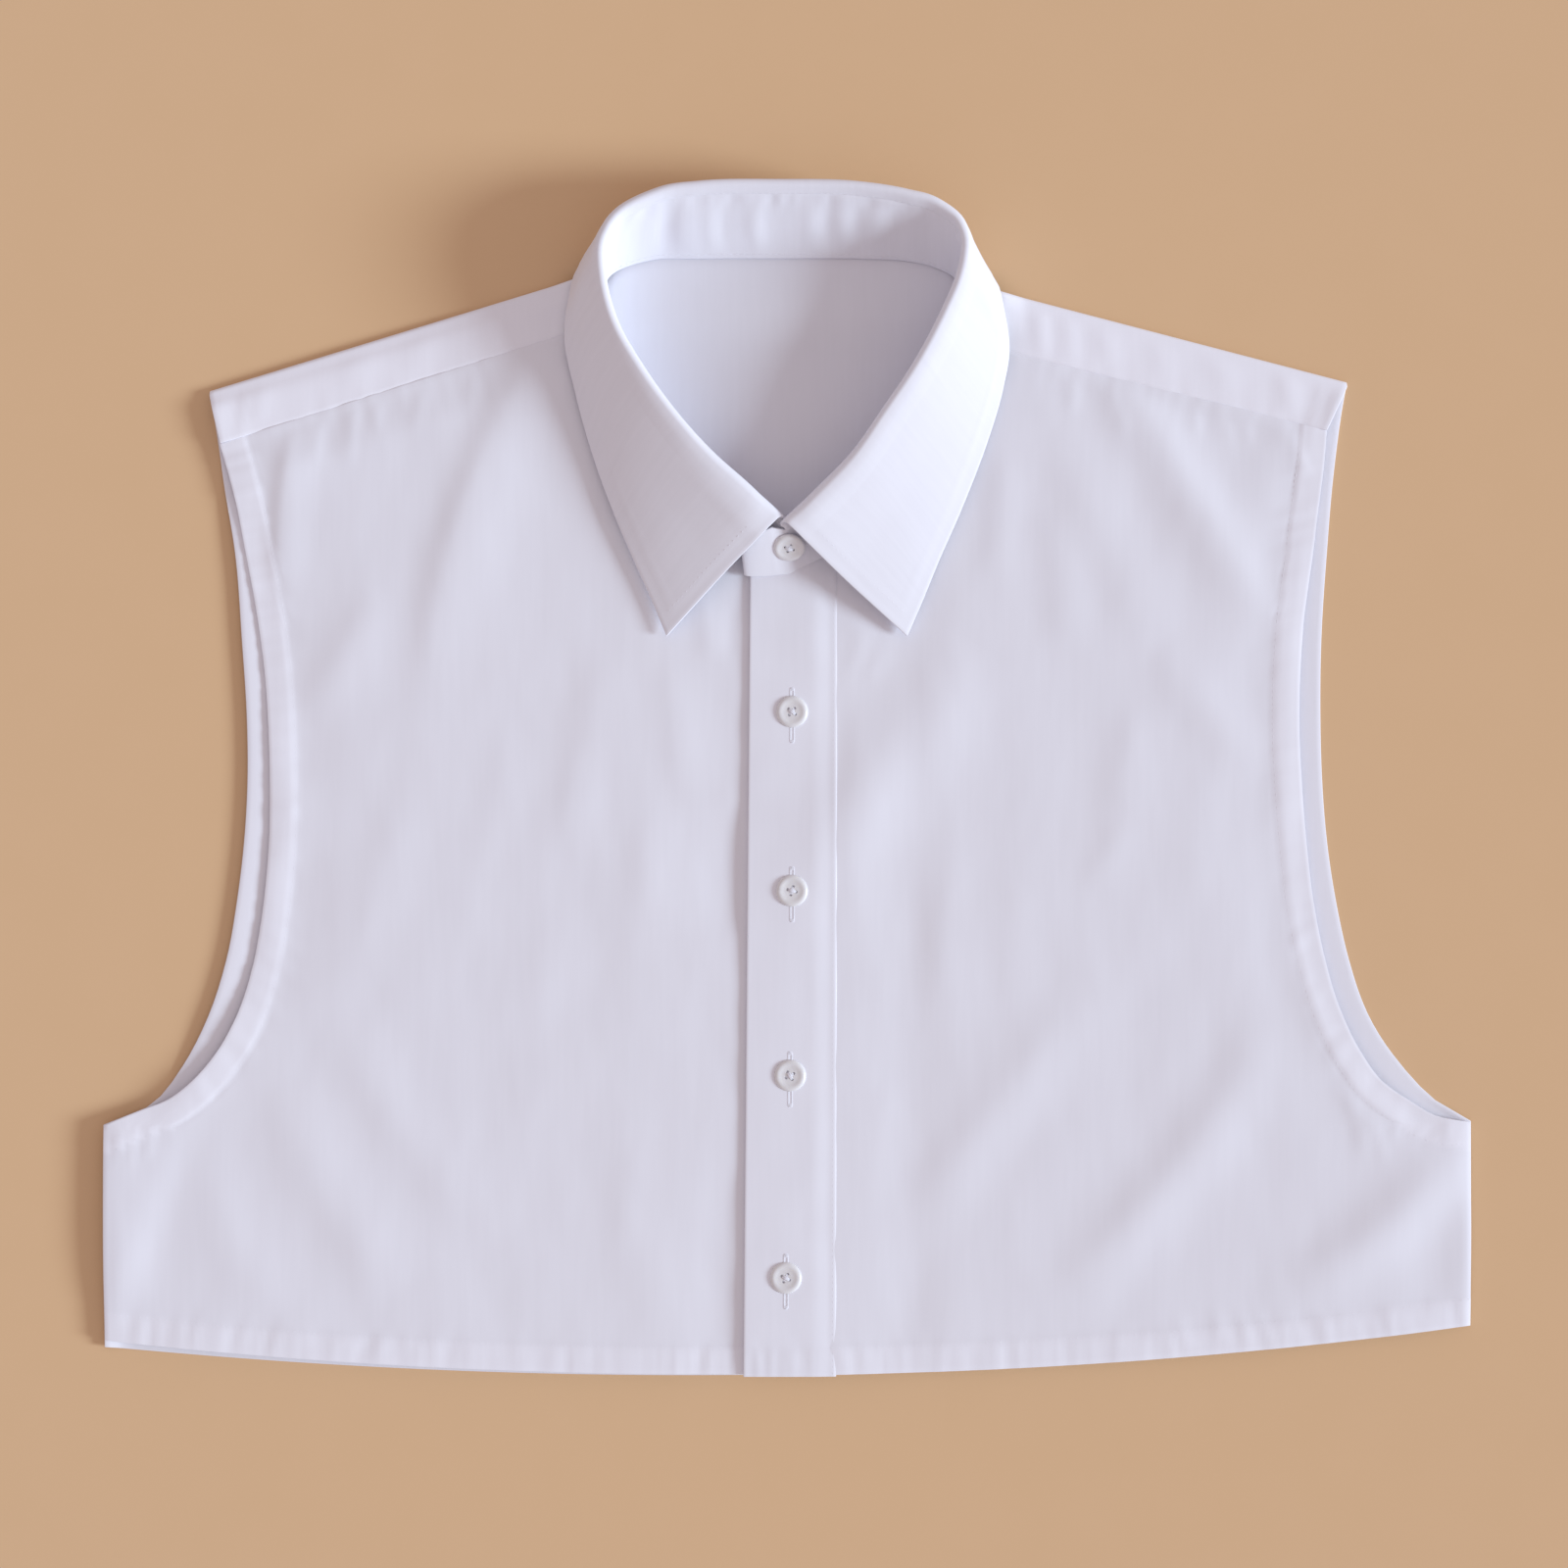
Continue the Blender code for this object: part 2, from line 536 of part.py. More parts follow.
def make_button(name, centre, tilt, material):
    """A shirt button: a turned disc with a raised rim and a dished middle, tilted about X."""
    bm = bmesh.new()
    line = [
        bm.verts.new((r * BUTTON_DIAMETER / 2, 0.0, z * BUTTON_THICKNESS))
        for r, z in BUTTON_PROFILE
    ]
    edges = [bm.edges.new(pair) for pair in zip(line, line[1:])]
    bmesh.ops.spin(
        bm,
        geom=line + edges,
        cent=(0.0, 0.0, 0.0),
        axis=(0.0, 0.0, 1.0),
        angle=2.0 * math.pi,
        steps=BUTTON_STEPS,
        use_merge=True,
    )
    bmesh.ops.remove_doubles(bm, verts=bm.verts, dist=0.001)
    bmesh.ops.recalc_face_normals(bm, faces=bm.faces)
    cosine, sine = math.cos(tilt), math.sin(tilt)
    for vertex in bm.verts:
        x, y, z = vertex.co
        vertex.co = (
            centre[0] + x,
            centre[1] + y * cosine - z * sine,
            centre[2] + y * sine + z * cosine,
        )
    return new_object(name, bm, material)


def main():
    for old in list(bpy.data.objects):
        bpy.data.objects.remove(old, do_unlink=True)

    poplin = new_material("white_poplin", (0.79, 0.79, 0.84), 0.85)
    interlined = new_material("white_poplin_interlined", (0.83, 0.83, 0.88), 0.8)
    pearl = new_material("pearl_resin", (0.80, 0.80, 0.82), 0.3)

    collar = smooth_rows(COLLAR_SECTIONS, COLLAR_SPACING, measure=lambda rows: rows[:, 3:6])
    foot = collar[:, 0:2]
    behind = (foot[:, 1] > NECK_EDGE_Y) & (np.abs(foot[:, 0]) < NECK_EDGE_X)
    neck = (foot[behind, 0], foot[behind, 1] - STAND_WALL / 2 - SEAM_GAP)

    body, whole = back_points(neck)
    lower_rows = len(body) - 1
    sides = SHOULDER_COLUMNS
    cloth_sheet(
        "back",
        whole,
        PANEL_WALL,
        -1.0,
        poplin,
        flip=True,
        keep=lambda row, column: row < lower_rows
        or column < sides
        or column >= sides + NECK_COLUMNS,
    )
    right = front_points(RIGHT_FRONT_SECTIONS, right_front_top)
    cloth_sheet("front_right", right, PANEL_WALL, -1.0, poplin, flip=True)
    left = front_points(LEFT_FRONT_SECTIONS, left_front_top)
    cloth_sheet("front_left", left, PANEL_WALL, -1.0, poplin)
    cloth_sheet("placket", placket_points(), PANEL_WALL, -1.0, poplin)
    cloth_sheet("collar_stand", stand_points(collar), STAND_WALL, 0.0, interlined)
    cloth_sheet("collar_leaf", leaf_points(collar), LEAF_WALL, 0.0, interlined)

    for name, (x, y) in BUTTON_PLACES.items():
        top = float(placket_top(np.float64(x), np.float64(y)))
        make_button(name, (x, y, top + SEAM_GAP), 0.0, pearl)

    front_foot, front_fold, _, _, up, out = (piece[-1] for piece in collar_frames(collar))
    lift = STAND_WALL / 2 + SEAM_GAP
    seat = front_foot + COLLAR_BUTTON_HEIGHT * (front_fold - front_foot)
    seat[0] = COLLAR_BUTTON_X
    tilt = math.atan2(-out[1], out[2])
    make_button("button_collar", seat + lift * out, tilt, pearl)


main()
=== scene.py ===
import math

import bmesh
import bpy
import numpy as np
from mathutils import Matrix, Vector
from mathutils.bvhtree import BVHTree
from mathutils.noise import noise


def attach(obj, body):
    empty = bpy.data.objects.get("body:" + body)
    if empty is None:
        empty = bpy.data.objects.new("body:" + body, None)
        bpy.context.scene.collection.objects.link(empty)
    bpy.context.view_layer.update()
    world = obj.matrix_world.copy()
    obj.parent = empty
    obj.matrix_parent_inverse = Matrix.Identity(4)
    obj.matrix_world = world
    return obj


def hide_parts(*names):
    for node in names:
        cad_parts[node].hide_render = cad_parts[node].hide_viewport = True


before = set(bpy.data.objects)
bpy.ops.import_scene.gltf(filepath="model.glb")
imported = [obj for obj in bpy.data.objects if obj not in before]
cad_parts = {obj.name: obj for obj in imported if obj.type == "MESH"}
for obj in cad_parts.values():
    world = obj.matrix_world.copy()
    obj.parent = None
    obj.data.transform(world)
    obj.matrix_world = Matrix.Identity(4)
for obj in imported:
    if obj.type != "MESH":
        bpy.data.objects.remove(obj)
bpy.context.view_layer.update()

# A sleeveless false shirt front in white poplin, buttoned and laid flat, face up.
# Lengths are in millimetres up to the point where a mesh is made, and then in metres.
mm = 0.001
print("frame loaded:", len(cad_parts), "nodes")


# ---- small tools

def linear(hexColour):
    # sRGB hex to the linear values that a shader takes
    shares = [int(hexColour[k : k + 2], 16) / 255 for k in (1, 3, 5)]
    return [s / 12.92 if s <= 0.04045 else ((s + 0.055) / 1.055) ** 2.4 for s in shares] + [1.0]


def addNode(tree, kind, links=None, values=None, **settings):
    node = tree.nodes.new(kind)
    for name, value in settings.items():
        setattr(node, name, value)
    for name, value in (values or {}).items():
        node.inputs[name].default_value = value
    for name, source in (links or {}).items():
        tree.links.new(source, node.inputs[name])
    return node


def ease(start, end, value):
    share = np.clip((np.asarray(value, float) - start) / (end - start), 0.0, 1.0)
    return share * share * (3.0 - 2.0 * share)


def bell(value, width):
    return np.exp(-((value / width) ** 2))


def unit(vectors):
    return vectors / np.maximum(np.linalg.norm(vectors, axis=-1, keepdims=True), 1e-9)


def hermite(first, second, leaving, arriving, width, t):
    return (
        (2 * t**3 - 3 * t**2 + 1) * first
        + (t**3 - 2 * t**2 + t) * width * leaving
        + (3 * t**2 - 2 * t**3) * second
        + (t**3 - t**2) * width * arriving
    )


def smoothRows(table, spacing, corners=(), measure=None):
    # the table's rows with more between them, on smooth curves that break at the corners
    rows = np.array(table, float)
    chord = np.linalg.norm(np.diff(rows, axis=0), axis=1)
    slope = np.gradient(rows, np.concatenate([[0.0], np.cumsum(chord)]), axis=0)
    measured = rows if measure is None else measure(rows)
    result = [rows[0]]
    for k, width in enumerate(chord):
        straightOn = (rows[k + 1] - rows[k]) / width
        leaving = straightOn if k in corners else slope[k]
        arriving = straightOn if k + 1 in corners else slope[k + 1]
        steps = max(1, round(np.linalg.norm(measured[k + 1] - measured[k]) / spacing))
        for step in range(1, steps + 1):
            result.append(hermite(rows[k], rows[k + 1], leaving, arriving, width, step / steps))
    return np.array(result)


def refineAcross(points, counts):
    # more columns on a smooth curve through those given, counts[k] of them in gap k
    chord = np.maximum(np.linalg.norm(np.diff(points, axis=1), axis=2), 1e-6)[:, :, None]
    secant = np.diff(points, axis=1) / chord
    slope = np.empty_like(points)
    slope[:, 0], slope[:, -1] = secant[:, 0], secant[:, -1]
    before, after = chord[:, :-1], chord[:, 1:]
    slope[:, 1:-1] = (secant[:, :-1] * after + secant[:, 1:] * before) / (before + after)
    columns = [points[:, 0]]
    for k, count in enumerate(counts):
        span = (points[:, k], points[:, k + 1], slope[:, k], slope[:, k + 1], chord[:, k])
        columns += [hermite(*span, step / count) for step in range(1, count + 1)]
    return np.stack(columns, axis=1)


def lineField(x, y, line):
    # distance in plan to a line of points, the length along it at the nearest place, the whole
    # length, and the side: -1 is left of a line that runs down the picture, 1 is right of it
    line = np.asarray(line, float)[:, :2]
    nearest = np.full(np.shape(x), 1e9)
    along = np.zeros(np.shape(x))
    side = np.zeros(np.shape(x))
    travelled = 0.0
    for start, end in zip(line, line[1:]):
        run = end - start
        size = max(math.hypot(*run), 1e-9)
        fromX, fromY = x - start[0], y - start[1]
        t = np.clip((fromX * run[0] + fromY * run[1]) / size**2, 0.0, 1.0)
        gap = np.hypot(fromX - t * run[0], fromY - t * run[1])
        closer = gap < nearest
        nearest = np.where(closer, gap, nearest)
        along = np.where(closer, travelled + t * size, along)
        across = (run[0] * fromY - run[1] * fromX) / size
        side = np.where(closer, across / np.maximum(gap, 1e-6), side)
        travelled += size
    return nearest, along, travelled, side


def foldHeight(folds, x, y):
    # soft ridges (or, below zero, troughs) along curves that fade out at both ends
    total = np.zeros_like(x)
    for x0, y0, x1, y1, x2, y2, leftWidth, rightWidth, height in folds:
        t = np.linspace(0.0, 1.0, 9)[:, None]
        ends = np.array([[x0, y0], [x2, y2]])
        bend = 2 * np.array([x1, y1]) - (ends[0] + ends[1]) / 2
        line = (1 - t) ** 2 * ends[0] + 2 * t * (1 - t) * bend + t**2 * ends[1]
        off, along, length, side = lineField(x, y, line)
        width = (leftWidth + rightWidth) / 2 + np.clip(side, -1, 1) * (rightWidth - leftWidth) / 2
        share = 2.0 * along / length - 1.0
        total += height * bell(off, width) * np.exp(-1.6 * share**4)
    return total


def ripple(along, pitch, seed):
    # an uneven wave, whose pitch and strength wander along an edge
    flat = [noise(Vector((a / (0.6 * pitch), seed, 0.37))) for a in np.ravel(along)]
    return 2.2 * np.array(flat).reshape(np.shape(along))


def gridNormals(points):
    normal = np.cross(np.gradient(points, axis=1), np.gradient(points, axis=0))
    return unit(normal)


centre = np.array([0.01, -1.71, 0.0])  # the tables are drawn about another point than the frame


def toFrame(points):
    return (points - centre) * mm


def fromFrame(place):
    return np.array(place) / mm + centre


upward = np.array([0.0, 0.0, 1.0])


def lookDown(tree, x, y):
    # what is met first under a place in the frame
    return tree.ray_cast(Vector((x, y, 0.2)), Vector((0.0, 0.0, -1.0)))


# ---- cloth sheets and sewing

def clothSheet(
    name, points, uv, wall, material, offset=-1.0, flip=False, keep=None, rim=0.2, layered=0.0
):
    # a grid laid out row by row, moved onto its points and given a wall with rounded rims
    rows, columns = points.shape[:2]
    bm = bmesh.new()
    bmesh.ops.create_grid(bm, x_segments=columns - 1, y_segments=rows - 1, size=1.0)
    thick = bm.verts.layers.float.new("layered")
    values = np.broadcast_to(layered, points.shape[:2]).ravel()
    for vertex, place, value in zip(bm.verts, toFrame(points).reshape(-1, 3), values):
        vertex.co, vertex[thick] = place, value
    layer = bm.loops.layers.uv.new("threads")
    flat = (uv * mm).reshape(-1, 2)
    for face in bm.faces:
        for loop in face.loops:
            loop[layer].uv = flat[loop.vert.index]
    if keep is not None:
        places = zip(list(bm.faces), np.ndindex(rows - 1, columns - 1))
        bmesh.ops.delete(bm, geom=[f for f, at in places if not keep(*at)], context="FACES")
    if flip:
        bmesh.ops.reverse_faces(bm, faces=bm.faces)
    tree = BVHTree.FromBMesh(bm)
    sheet = newPiece(name, bm, material)
    solidify = sheet.modifiers.new("wall", "SOLIDIFY")
    solidify.thickness, solidify.offset = wall * mm, offset
    bevel = sheet.modifiers.new("rolled rim", "BEVEL")
    bevel.width, bevel.segments, bevel.limit_method = rim * mm, 2, "ANGLE"
    bevel.angle_limit = math.radians(55)
    return sheet, tree


def newPiece(name, shape, material):
    # the shape is a bmesh, or the places, edges and faces of many copies
    mesh = bpy.data.meshes.new(name)
    if isinstance(shape, bmesh.types.BMesh):
        shape.to_mesh(mesh)
        shape.free()
    else:
        mesh.from_pydata(*shape)
    mesh.shade_smooth()
    mesh.materials.append(material)
    made = bpy.data.objects.new(name, mesh)
    bpy.context.scene.collection.objects.link(made)
    return made


def declare(piece, node=None):
    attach(piece, "root")
    if node:
        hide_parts(node)


def evenly(line, pitch):
    # a line of points read again at even steps
    line = np.asarray(line, float)
    place = np.concatenate([[0.0], np.cumsum(np.linalg.norm(np.diff(line, axis=0), axis=1))])
    steps = max(2, round(place[-1] / pitch))
    at = np.linspace(0.0, place[-1], steps + 1)
    return np.stack([np.interp(at, place, line[:, k]) for k in range(line.shape[1])], axis=1)


def insetLine(edge, inner, distance):
    # the edge's line moved into the cloth: inner holds a place inside it for each point
    edge, inner = np.asarray(edge, float), np.asarray(inner, float)
    along = unit(np.gradient(edge, axis=0))
    inward = inner - edge
    inward = unit(inward - (inward * along).sum(axis=1, keepdims=True) * along)
    return edge + distance * inward


sewing = {
    "pitch": 2.3,  # one stitch and the gap after it
    "length": 1.8,
    "radius": 0.12,
    "sink": 0.1,  # the ends dive this far
    "proud": -0.06,
}


def stitchMesh(name, runs, size=sewing):
    # one thread, copied along every run: each run is a list of (place, direction, up) in mm
    bm = bmesh.new()
    bmesh.ops.create_uvsphere(bm, u_segments=6, v_segments=6, radius=1.0)
    bmesh.ops.rotate(bm, verts=bm.verts, matrix=Matrix.Rotation(math.pi / 2, 3, "Y"))
    template = np.array([v.co for v in bm.verts])
    faces = [[v.index for v in f.verts] for f in bm.faces]
    bm.free()
    template[:, 0] = np.sign(template[:, 0]) * np.abs(template[:, 0]) ** 0.7 * size["length"] / 2
    template[:, 1:] *= size["radius"]
    template[:, 2] -= size["sink"] * (template[:, 0] / (size["length"] / 2)) ** 2
    places = [item for run in runs for item in run]
    points = np.empty((len(places), len(template), 3))
    for index, (at, along, up) in enumerate(places):
        side = np.cross(up, along)
        points[index] = at + template @ np.array([along, side, up])
    polygons = [[v + k * len(template) for v in f] for k in range(len(places)) for f in faces]
    return newPiece(name, (toFrame(points.reshape(-1, 3)).tolist(), [], polygons), threadFinish)


def stitchesOn(tree, line, fromAbove=True):
    # (place, direction, up) of each stitch on the cloth, along a line of points
    ends = evenly(line, sewing["pitch"] / 2)
    run = []
    for index, spot in enumerate(ends[1::2]):
        probe = Vector(toFrame(spot).tolist())
        found = lookDown(tree, probe.x, probe.y) if fromAbove else tree.find_nearest(probe)
        if found[0] is None:
            continue
        up = np.array(found[1])
        ahead = ends[min(2 * index + 2, len(ends) - 1)] - ends[2 * index]
        if fromAbove:
            ahead = np.append(ahead[:2], 0.0)
        along = unit(ahead - (ahead @ up) * up)
        run.append((fromFrame(found[0]) + sewing["proud"] * up, along, up))
    return run


# ---- finishes

def newMaterial(name, values):
    material = bpy.data.materials.new(name)
    material.use_nodes = True
    shader = material.node_tree.nodes["Principled BSDF"]
    for socket, value in values.items():
        shader.inputs[socket].default_value = value
    return material, material.node_tree, shader


def poplin(name, colour, weave):
    # White cotton poplin, plain woven from fine combed yarn: matt, with a faint thread grain
    # and a slight sheen from its fibres. Threads of 0.25 mm are drawn as coarse as they show.
    material, tree, shader = newMaterial(name, weave["surface"])
    place = addNode(tree, "ShaderNodeUVMap", uv_map="threads").outputs["UV"]
    # a wave texture of scale 1 repeats after pi / 10
    scale = {"Scale": math.pi / 10 / (2 * weave["threadSpacing"] * mm)}
    waves = []
    for way in ("X", "Y"):
        wave = addNode(tree, "ShaderNodeTexWave", {"Vector": place}, scale, bands_direction=way)
        link = {0: wave.outputs["Fac"]}
        centred = addNode(tree, "ShaderNodeMath", link, {1: 0.5}, operation="SUBTRACT")
        waves.append(centred.outputs[0])
    over = addNode(tree, "ShaderNodeMath", dict(enumerate(waves)), operation="MULTIPLY")
    scale = {"Scale": (1 / (weave["slubWidth"] * mm), 1 / (weave["slubLength"] * mm), 1.0)}
    stretched = addNode(tree, "ShaderNodeMapping", {"Vector": place}, scale).outputs[0]
    detail = {"Scale": 1.0, "Detail": 3.0, "Roughness": 0.6}
    slubs = addNode(tree, "ShaderNodeTexNoise", {"Vector": stretched}, detail).outputs["Fac"]
    span = {"From Min": 0.3, "From Max": 0.7, "To Min": 0.0, "To Max": 1.0}
    tone = addNode(tree, "ShaderNodeMapRange", {"Value": slubs}, span)
    tones = {6: linear(colour["thin"]), 7: linear(colour["full"])}
    mix = addNode(tree, "ShaderNodeMix", {0: tone.outputs[0]}, tones, data_type="RGBA")
    # thin white cloth lets a little of what is under it through, so turned hems are whiter
    layered = addNode(tree, "ShaderNodeAttribute", attribute_name="layered").outputs["Fac"]
    gain = {1: weave["layerGain"], 2: 1.0}
    whiter = addNode(tree, "ShaderNodeMath", {0: layered}, gain, operation="MULTIPLY_ADD")
    links = {"Value": whiter.outputs[0], "Color": mix.outputs[2]}
    seen = addNode(tree, "ShaderNodeHueSaturation", links)
    tree.links.new(seen.outputs["Color"], shader.inputs["Base Color"])
    depth = {"Strength": 1.0, "Distance": weave["slubDepth"] * mm}
    grain = addNode(tree, "ShaderNodeBump", {"Height": slubs}, depth)
    depth = {"Strength": 1.0, "Distance": weave["threadDepth"] * mm}
    links = {"Height": over.outputs[0], "Normal": grain.outputs[0]}
    threads = addNode(tree, "ShaderNodeBump", links, depth)
    tree.links.new(threads.outputs[0], shader.inputs["Normal"])
    return material


finishes = {
    "panel": {"thin": "#e6e6ee", "full": "#e8e8f0"},
    "collar": {"thin": "#e6e6ee", "full": "#e9e9f1"},
    "weave": {
        "threadSpacing": 0.5,
        "threadDepth": 0.005,
        "slubWidth": 2.2,
        "slubLength": 30.0,
        "slubDepth": 0.003,
        "layerGain": 0.08,
        "surface": {
            "Roughness": 0.85,
            "IOR": 1.53,
            "Specular IOR Level": 0.3,
            "Sheen Weight": 0.12,
            "Sheen Roughness": 0.4,
        },
    },
    "thread": {"dull": "#e6e6ee", "bright": "#efeff6", "fuzz": 0.4},
    # the pearl's body colour is the resin's own tone greyed further as painted shade, from the collar
    # button in the leaf's shadow; every button shares it
    "pearl": {"body": "#d9d8da", "cloud": "#e8e7e8", "cloudSize": 3.5},
}


def mottled(name, values, noiseValues, first, second):
    # a finish whose colour wanders between two
    material, tree, shader = newMaterial(name, values)
    place = addNode(tree, "ShaderNodeTexCoord").outputs["Object"]
    mottle = addNode(tree, "ShaderNodeTexNoise", {"Vector": place}, noiseValues)
    tones = {6: linear(first), 7: linear(second)}
    mix = addNode(tree, "ShaderNodeMix", {0: mottle.outputs["Fac"]}, tones, data_type="RGBA")
    tree.links.new(mix.outputs[2], shader.inputs["Base Color"])
    return material


def threadCotton(look):
    # spun polyester-cotton sewing thread: round, brighter than the cloth, a soft lustre
    surface = {"Roughness": 0.55, "Sheen Weight": 0.2}
    fuzz = {"Scale": 1 / (look["fuzz"] * mm), "Detail": 2.0}
    return mottled("sewing_thread", surface, fuzz, look["dull"], look["bright"])


def pearlResin(look):
    # cast polyester resin with pearl pigment: cloudy, glossy, a little light passes into it. Its body
    # colour is the resin's pearly tone darkened further as painted shade, taken from the collar
    # button that lies in the leaf's shadow.
    surface = {
        "Roughness": 0.28,
        "IOR": 1.56,
        "Coat Weight": 0.4,
        "Coat Roughness": 0.12,
        "Subsurface Weight": 0.3,
        "Subsurface Radius": (0.002, 0.002, 0.0018),
        "Subsurface Scale": 0.5,
    }
    clouds = {"Scale": 1 / (look["cloudSize"] * mm), "Detail": 3.0, "Distortion": 1.2}
    return mottled("pearl_resin_with_painted_shade", surface, clouds, look["body"], look["cloud"])


panelCloth = poplin("white_cotton_poplin", finishes["panel"], finishes["weave"])
collarCloth = poplin("white_cotton_poplin_fused", finishes["collar"], finishes["weave"])
threadFinish = threadCotton(finishes["thread"])
pearlWithPaintedShade = pearlResin(finishes["pearl"])
print("finishes made")


# ---- where the layers lie

layers = {
    "frontLevel": 2.5,
    "shoulderRise": 1.25,
    "shoulderClimb": (90.0, 130.0),
    "lapRise": 1.4,
    "lapClimb": (48.0, 22.0),
    "neckRise": 2.1,
    "neckClimbAlong": (148.0, 164.0),
    "neckClimbAcross": (86.0, 75.0),
    "loft": 0.9,
    "loftInner": (24.0, 60.0),
    "loftOuter": (242.0, 215.0),
    "rightFoldsInner": (-10.0, -17.0),  # the right front is flat where it runs under the placket
    "foldsOuter": (244.0, 238.0),
    # the shoulder seams: |x| and y at the neck, and how far they fall for each mm outwards
    "rightSeam": (69.3, 160.8, 0.318),
    "leftSeam": (66.1, 154.4, 0.248),
    "loftClear": (3.0, 18.0),
    "foldClear": (0.6, 6.5),
    "sideGap": 1.25,  # between the layers at the side seams, which the back takes up
    "underLap": 0.8,  # the right front rises over its own turned edge, under the placket
    "underLapClimb": (-75.0, -24.0),
}
hem = {
    "width": 9.5,
    "build": 0.25,  # turned twice, so it stands a little higher
    "sink": 0.1,
    "pitch": 8.0,
    "pucker": 0.13,
    "reach": 3.0,  # how far puckers run on into the cloth
    "whiter": 0.5,  # of a second layer's gain
    "armholeWhiter": 0.75,
    "finePitch": 4.6,
    "finePucker": 0.1,
}


def neckRise(x, y):
    along, across = layers["neckClimbAlong"], layers["neckClimbAcross"]
    return layers["neckRise"] * ease(*along, y) * ease(*across, np.abs(x))


def frontTop(folds, x, y):
    out = np.abs(x)
    top = layers["frontLevel"] + layers["shoulderRise"] * ease(*layers["shoulderClimb"], y)
    loft = layers["loft"] * ease(*layers["loftInner"], out) * ease(*layers["loftOuter"], out)
    free = ease(*layers["foldsOuter"], out)
    if folds is rightFrontFolds:
        free = free * ease(*layers["rightFoldsInner"], x)
    seams = [level - fall * (out - neck) for neck, level, fall in
             (layers["rightSeam"], layers["leftSeam"])]
    below = np.where(x < 0.0, seams[0], seams[1]) - y
    loft = loft * ease(*layers["loftClear"], below)
    creases = foldHeight(folds, x, y) * ease(*layers["foldClear"], below)
    return top + neckRise(x, y) + (loft + creases) * free


def hemBand(distance):
    return ease(hem["width"] + 0.6, hem["width"] - 0.6, distance)


def hemRelief(distance, along, seed, size=hem):
    # a thicker band inside the stitching, a sunk seam, and puckers that run out of it
    width = size["width"]
    band = size["build"] * ease(width + 0.7, width - 0.7, distance)
    seam = -size["sink"] * bell(distance - width, 0.7)
    reach = size["reach"] * (1.0 + 0.7 * np.sin(along / 17.0 + seed))
    inside = np.clip(distance - width, 0.0, None)
    fade = bell(inside, reach) * ease(-4.0, 6.0, distance)
    strength = 0.75 + 0.5 * np.sin(along / 31.0 + 2.0 * seed)
    slant = along + 0.3 * (distance - width)
    broad = size["pucker"] * strength * ripple(slant, size["pitch"], seed) * fade
    near = ease(width + 1.5, width - 2.0, distance)
    return band + seam + broad + size["finePucker"] * ripple(along, size["finePitch"], seed) * near


def undulation(x, y, size, height, seed):
    # slow unevenness of cloth that was ironed and then handled
    flat = [noise(Vector((a / size, b / size, seed))) for a, b in zip(x.ravel(), y.ravel())]
    return height * np.array(flat).reshape(x.shape)


def spread(rows, shares, dip, reach=80.0):
    # x and y at the given shares of each section, with the hem's hang
    x = rows[:, 0:1] + (rows[:, 2:3] - rows[:, 0:1]) * shares
    y = rows[:, 1:2] + (rows[:, 3:4] - rows[:, 1:2]) * shares
    hang = np.clip(1.0 - (rows[:, 1:2] - rows[0, 1]) / reach, 0.0, 1.0) ** 2
    return x, y - dip * 4.0 * shares * (1.0 - shares) * hang


# ---- the two fronts

fronts = {
    "wall": 0.6,
    "rowSpacing": 1.9,
    "columns": 150,
    "hemDip": 4.3,
    "tuck": 1.6,  # the edge that runs in under the shoulder's seam
    "tuckDrop": 0.8,
    "seamPitch": 7.5,
    "seamPucker": 0.07,
    "seamReach": 9.0,
    "slow": (19.0, 0.24),  # size and height of the cloth's unevenness
    "fine": (7.0, 0.05),
    "armholeHem": {"pucker": 0.12, "pitch": 7.0},
    "flatBeside": (40.0, 4.0),  # no loft beside the armhole, along most of its height
    "flatFrom": (-95.0, -62.0),
    "flatTo": (120.0, 95.0),
}
# Rows go from the hem up to the shoulder seam, each across the panel.
# columns: inner x, inner y, outer x, outer y
rightFrontSections = (
    (16.5, -212.4, -243.2, -200.9),
    (16.5, -172, -243.5, -162),
    (16.5, -131, -243.4, -124.2),
    (16.5, -126, -229.8, -118.6),
    (16.5, -120, -221.2, -115.3),
    (16.5, -112, -213.2, -109.5),
    (16.5, -101, -204.6, -100),
    (16.5, -86, -197, -87.1),
    (16.5, -66, -191.2, -70.2),
    (16.5, -45, -187.3, -49.5),
    (16.5, -21, -184.8, -23.6),
    (16.5, 3, -184.5, 0),
    (16.5, 27, -185.1, 20),
    (16.5, 50, -186.4, 37.8),
    (16.5, 71.3, -188, 50.5),
    (0, 71.5, -188.8, 56),
    (-15, 78.9, -190.3, 65),
    (-29, 91, -192.2, 75),
    (-43.2, 106.6, -194.1, 85),
    (-55.7, 125, -196.3, 96.5),
    (-65.2, 142.4, -199.2, 108),
    (-69.5, 160.3, -202.2, 118.2),
)
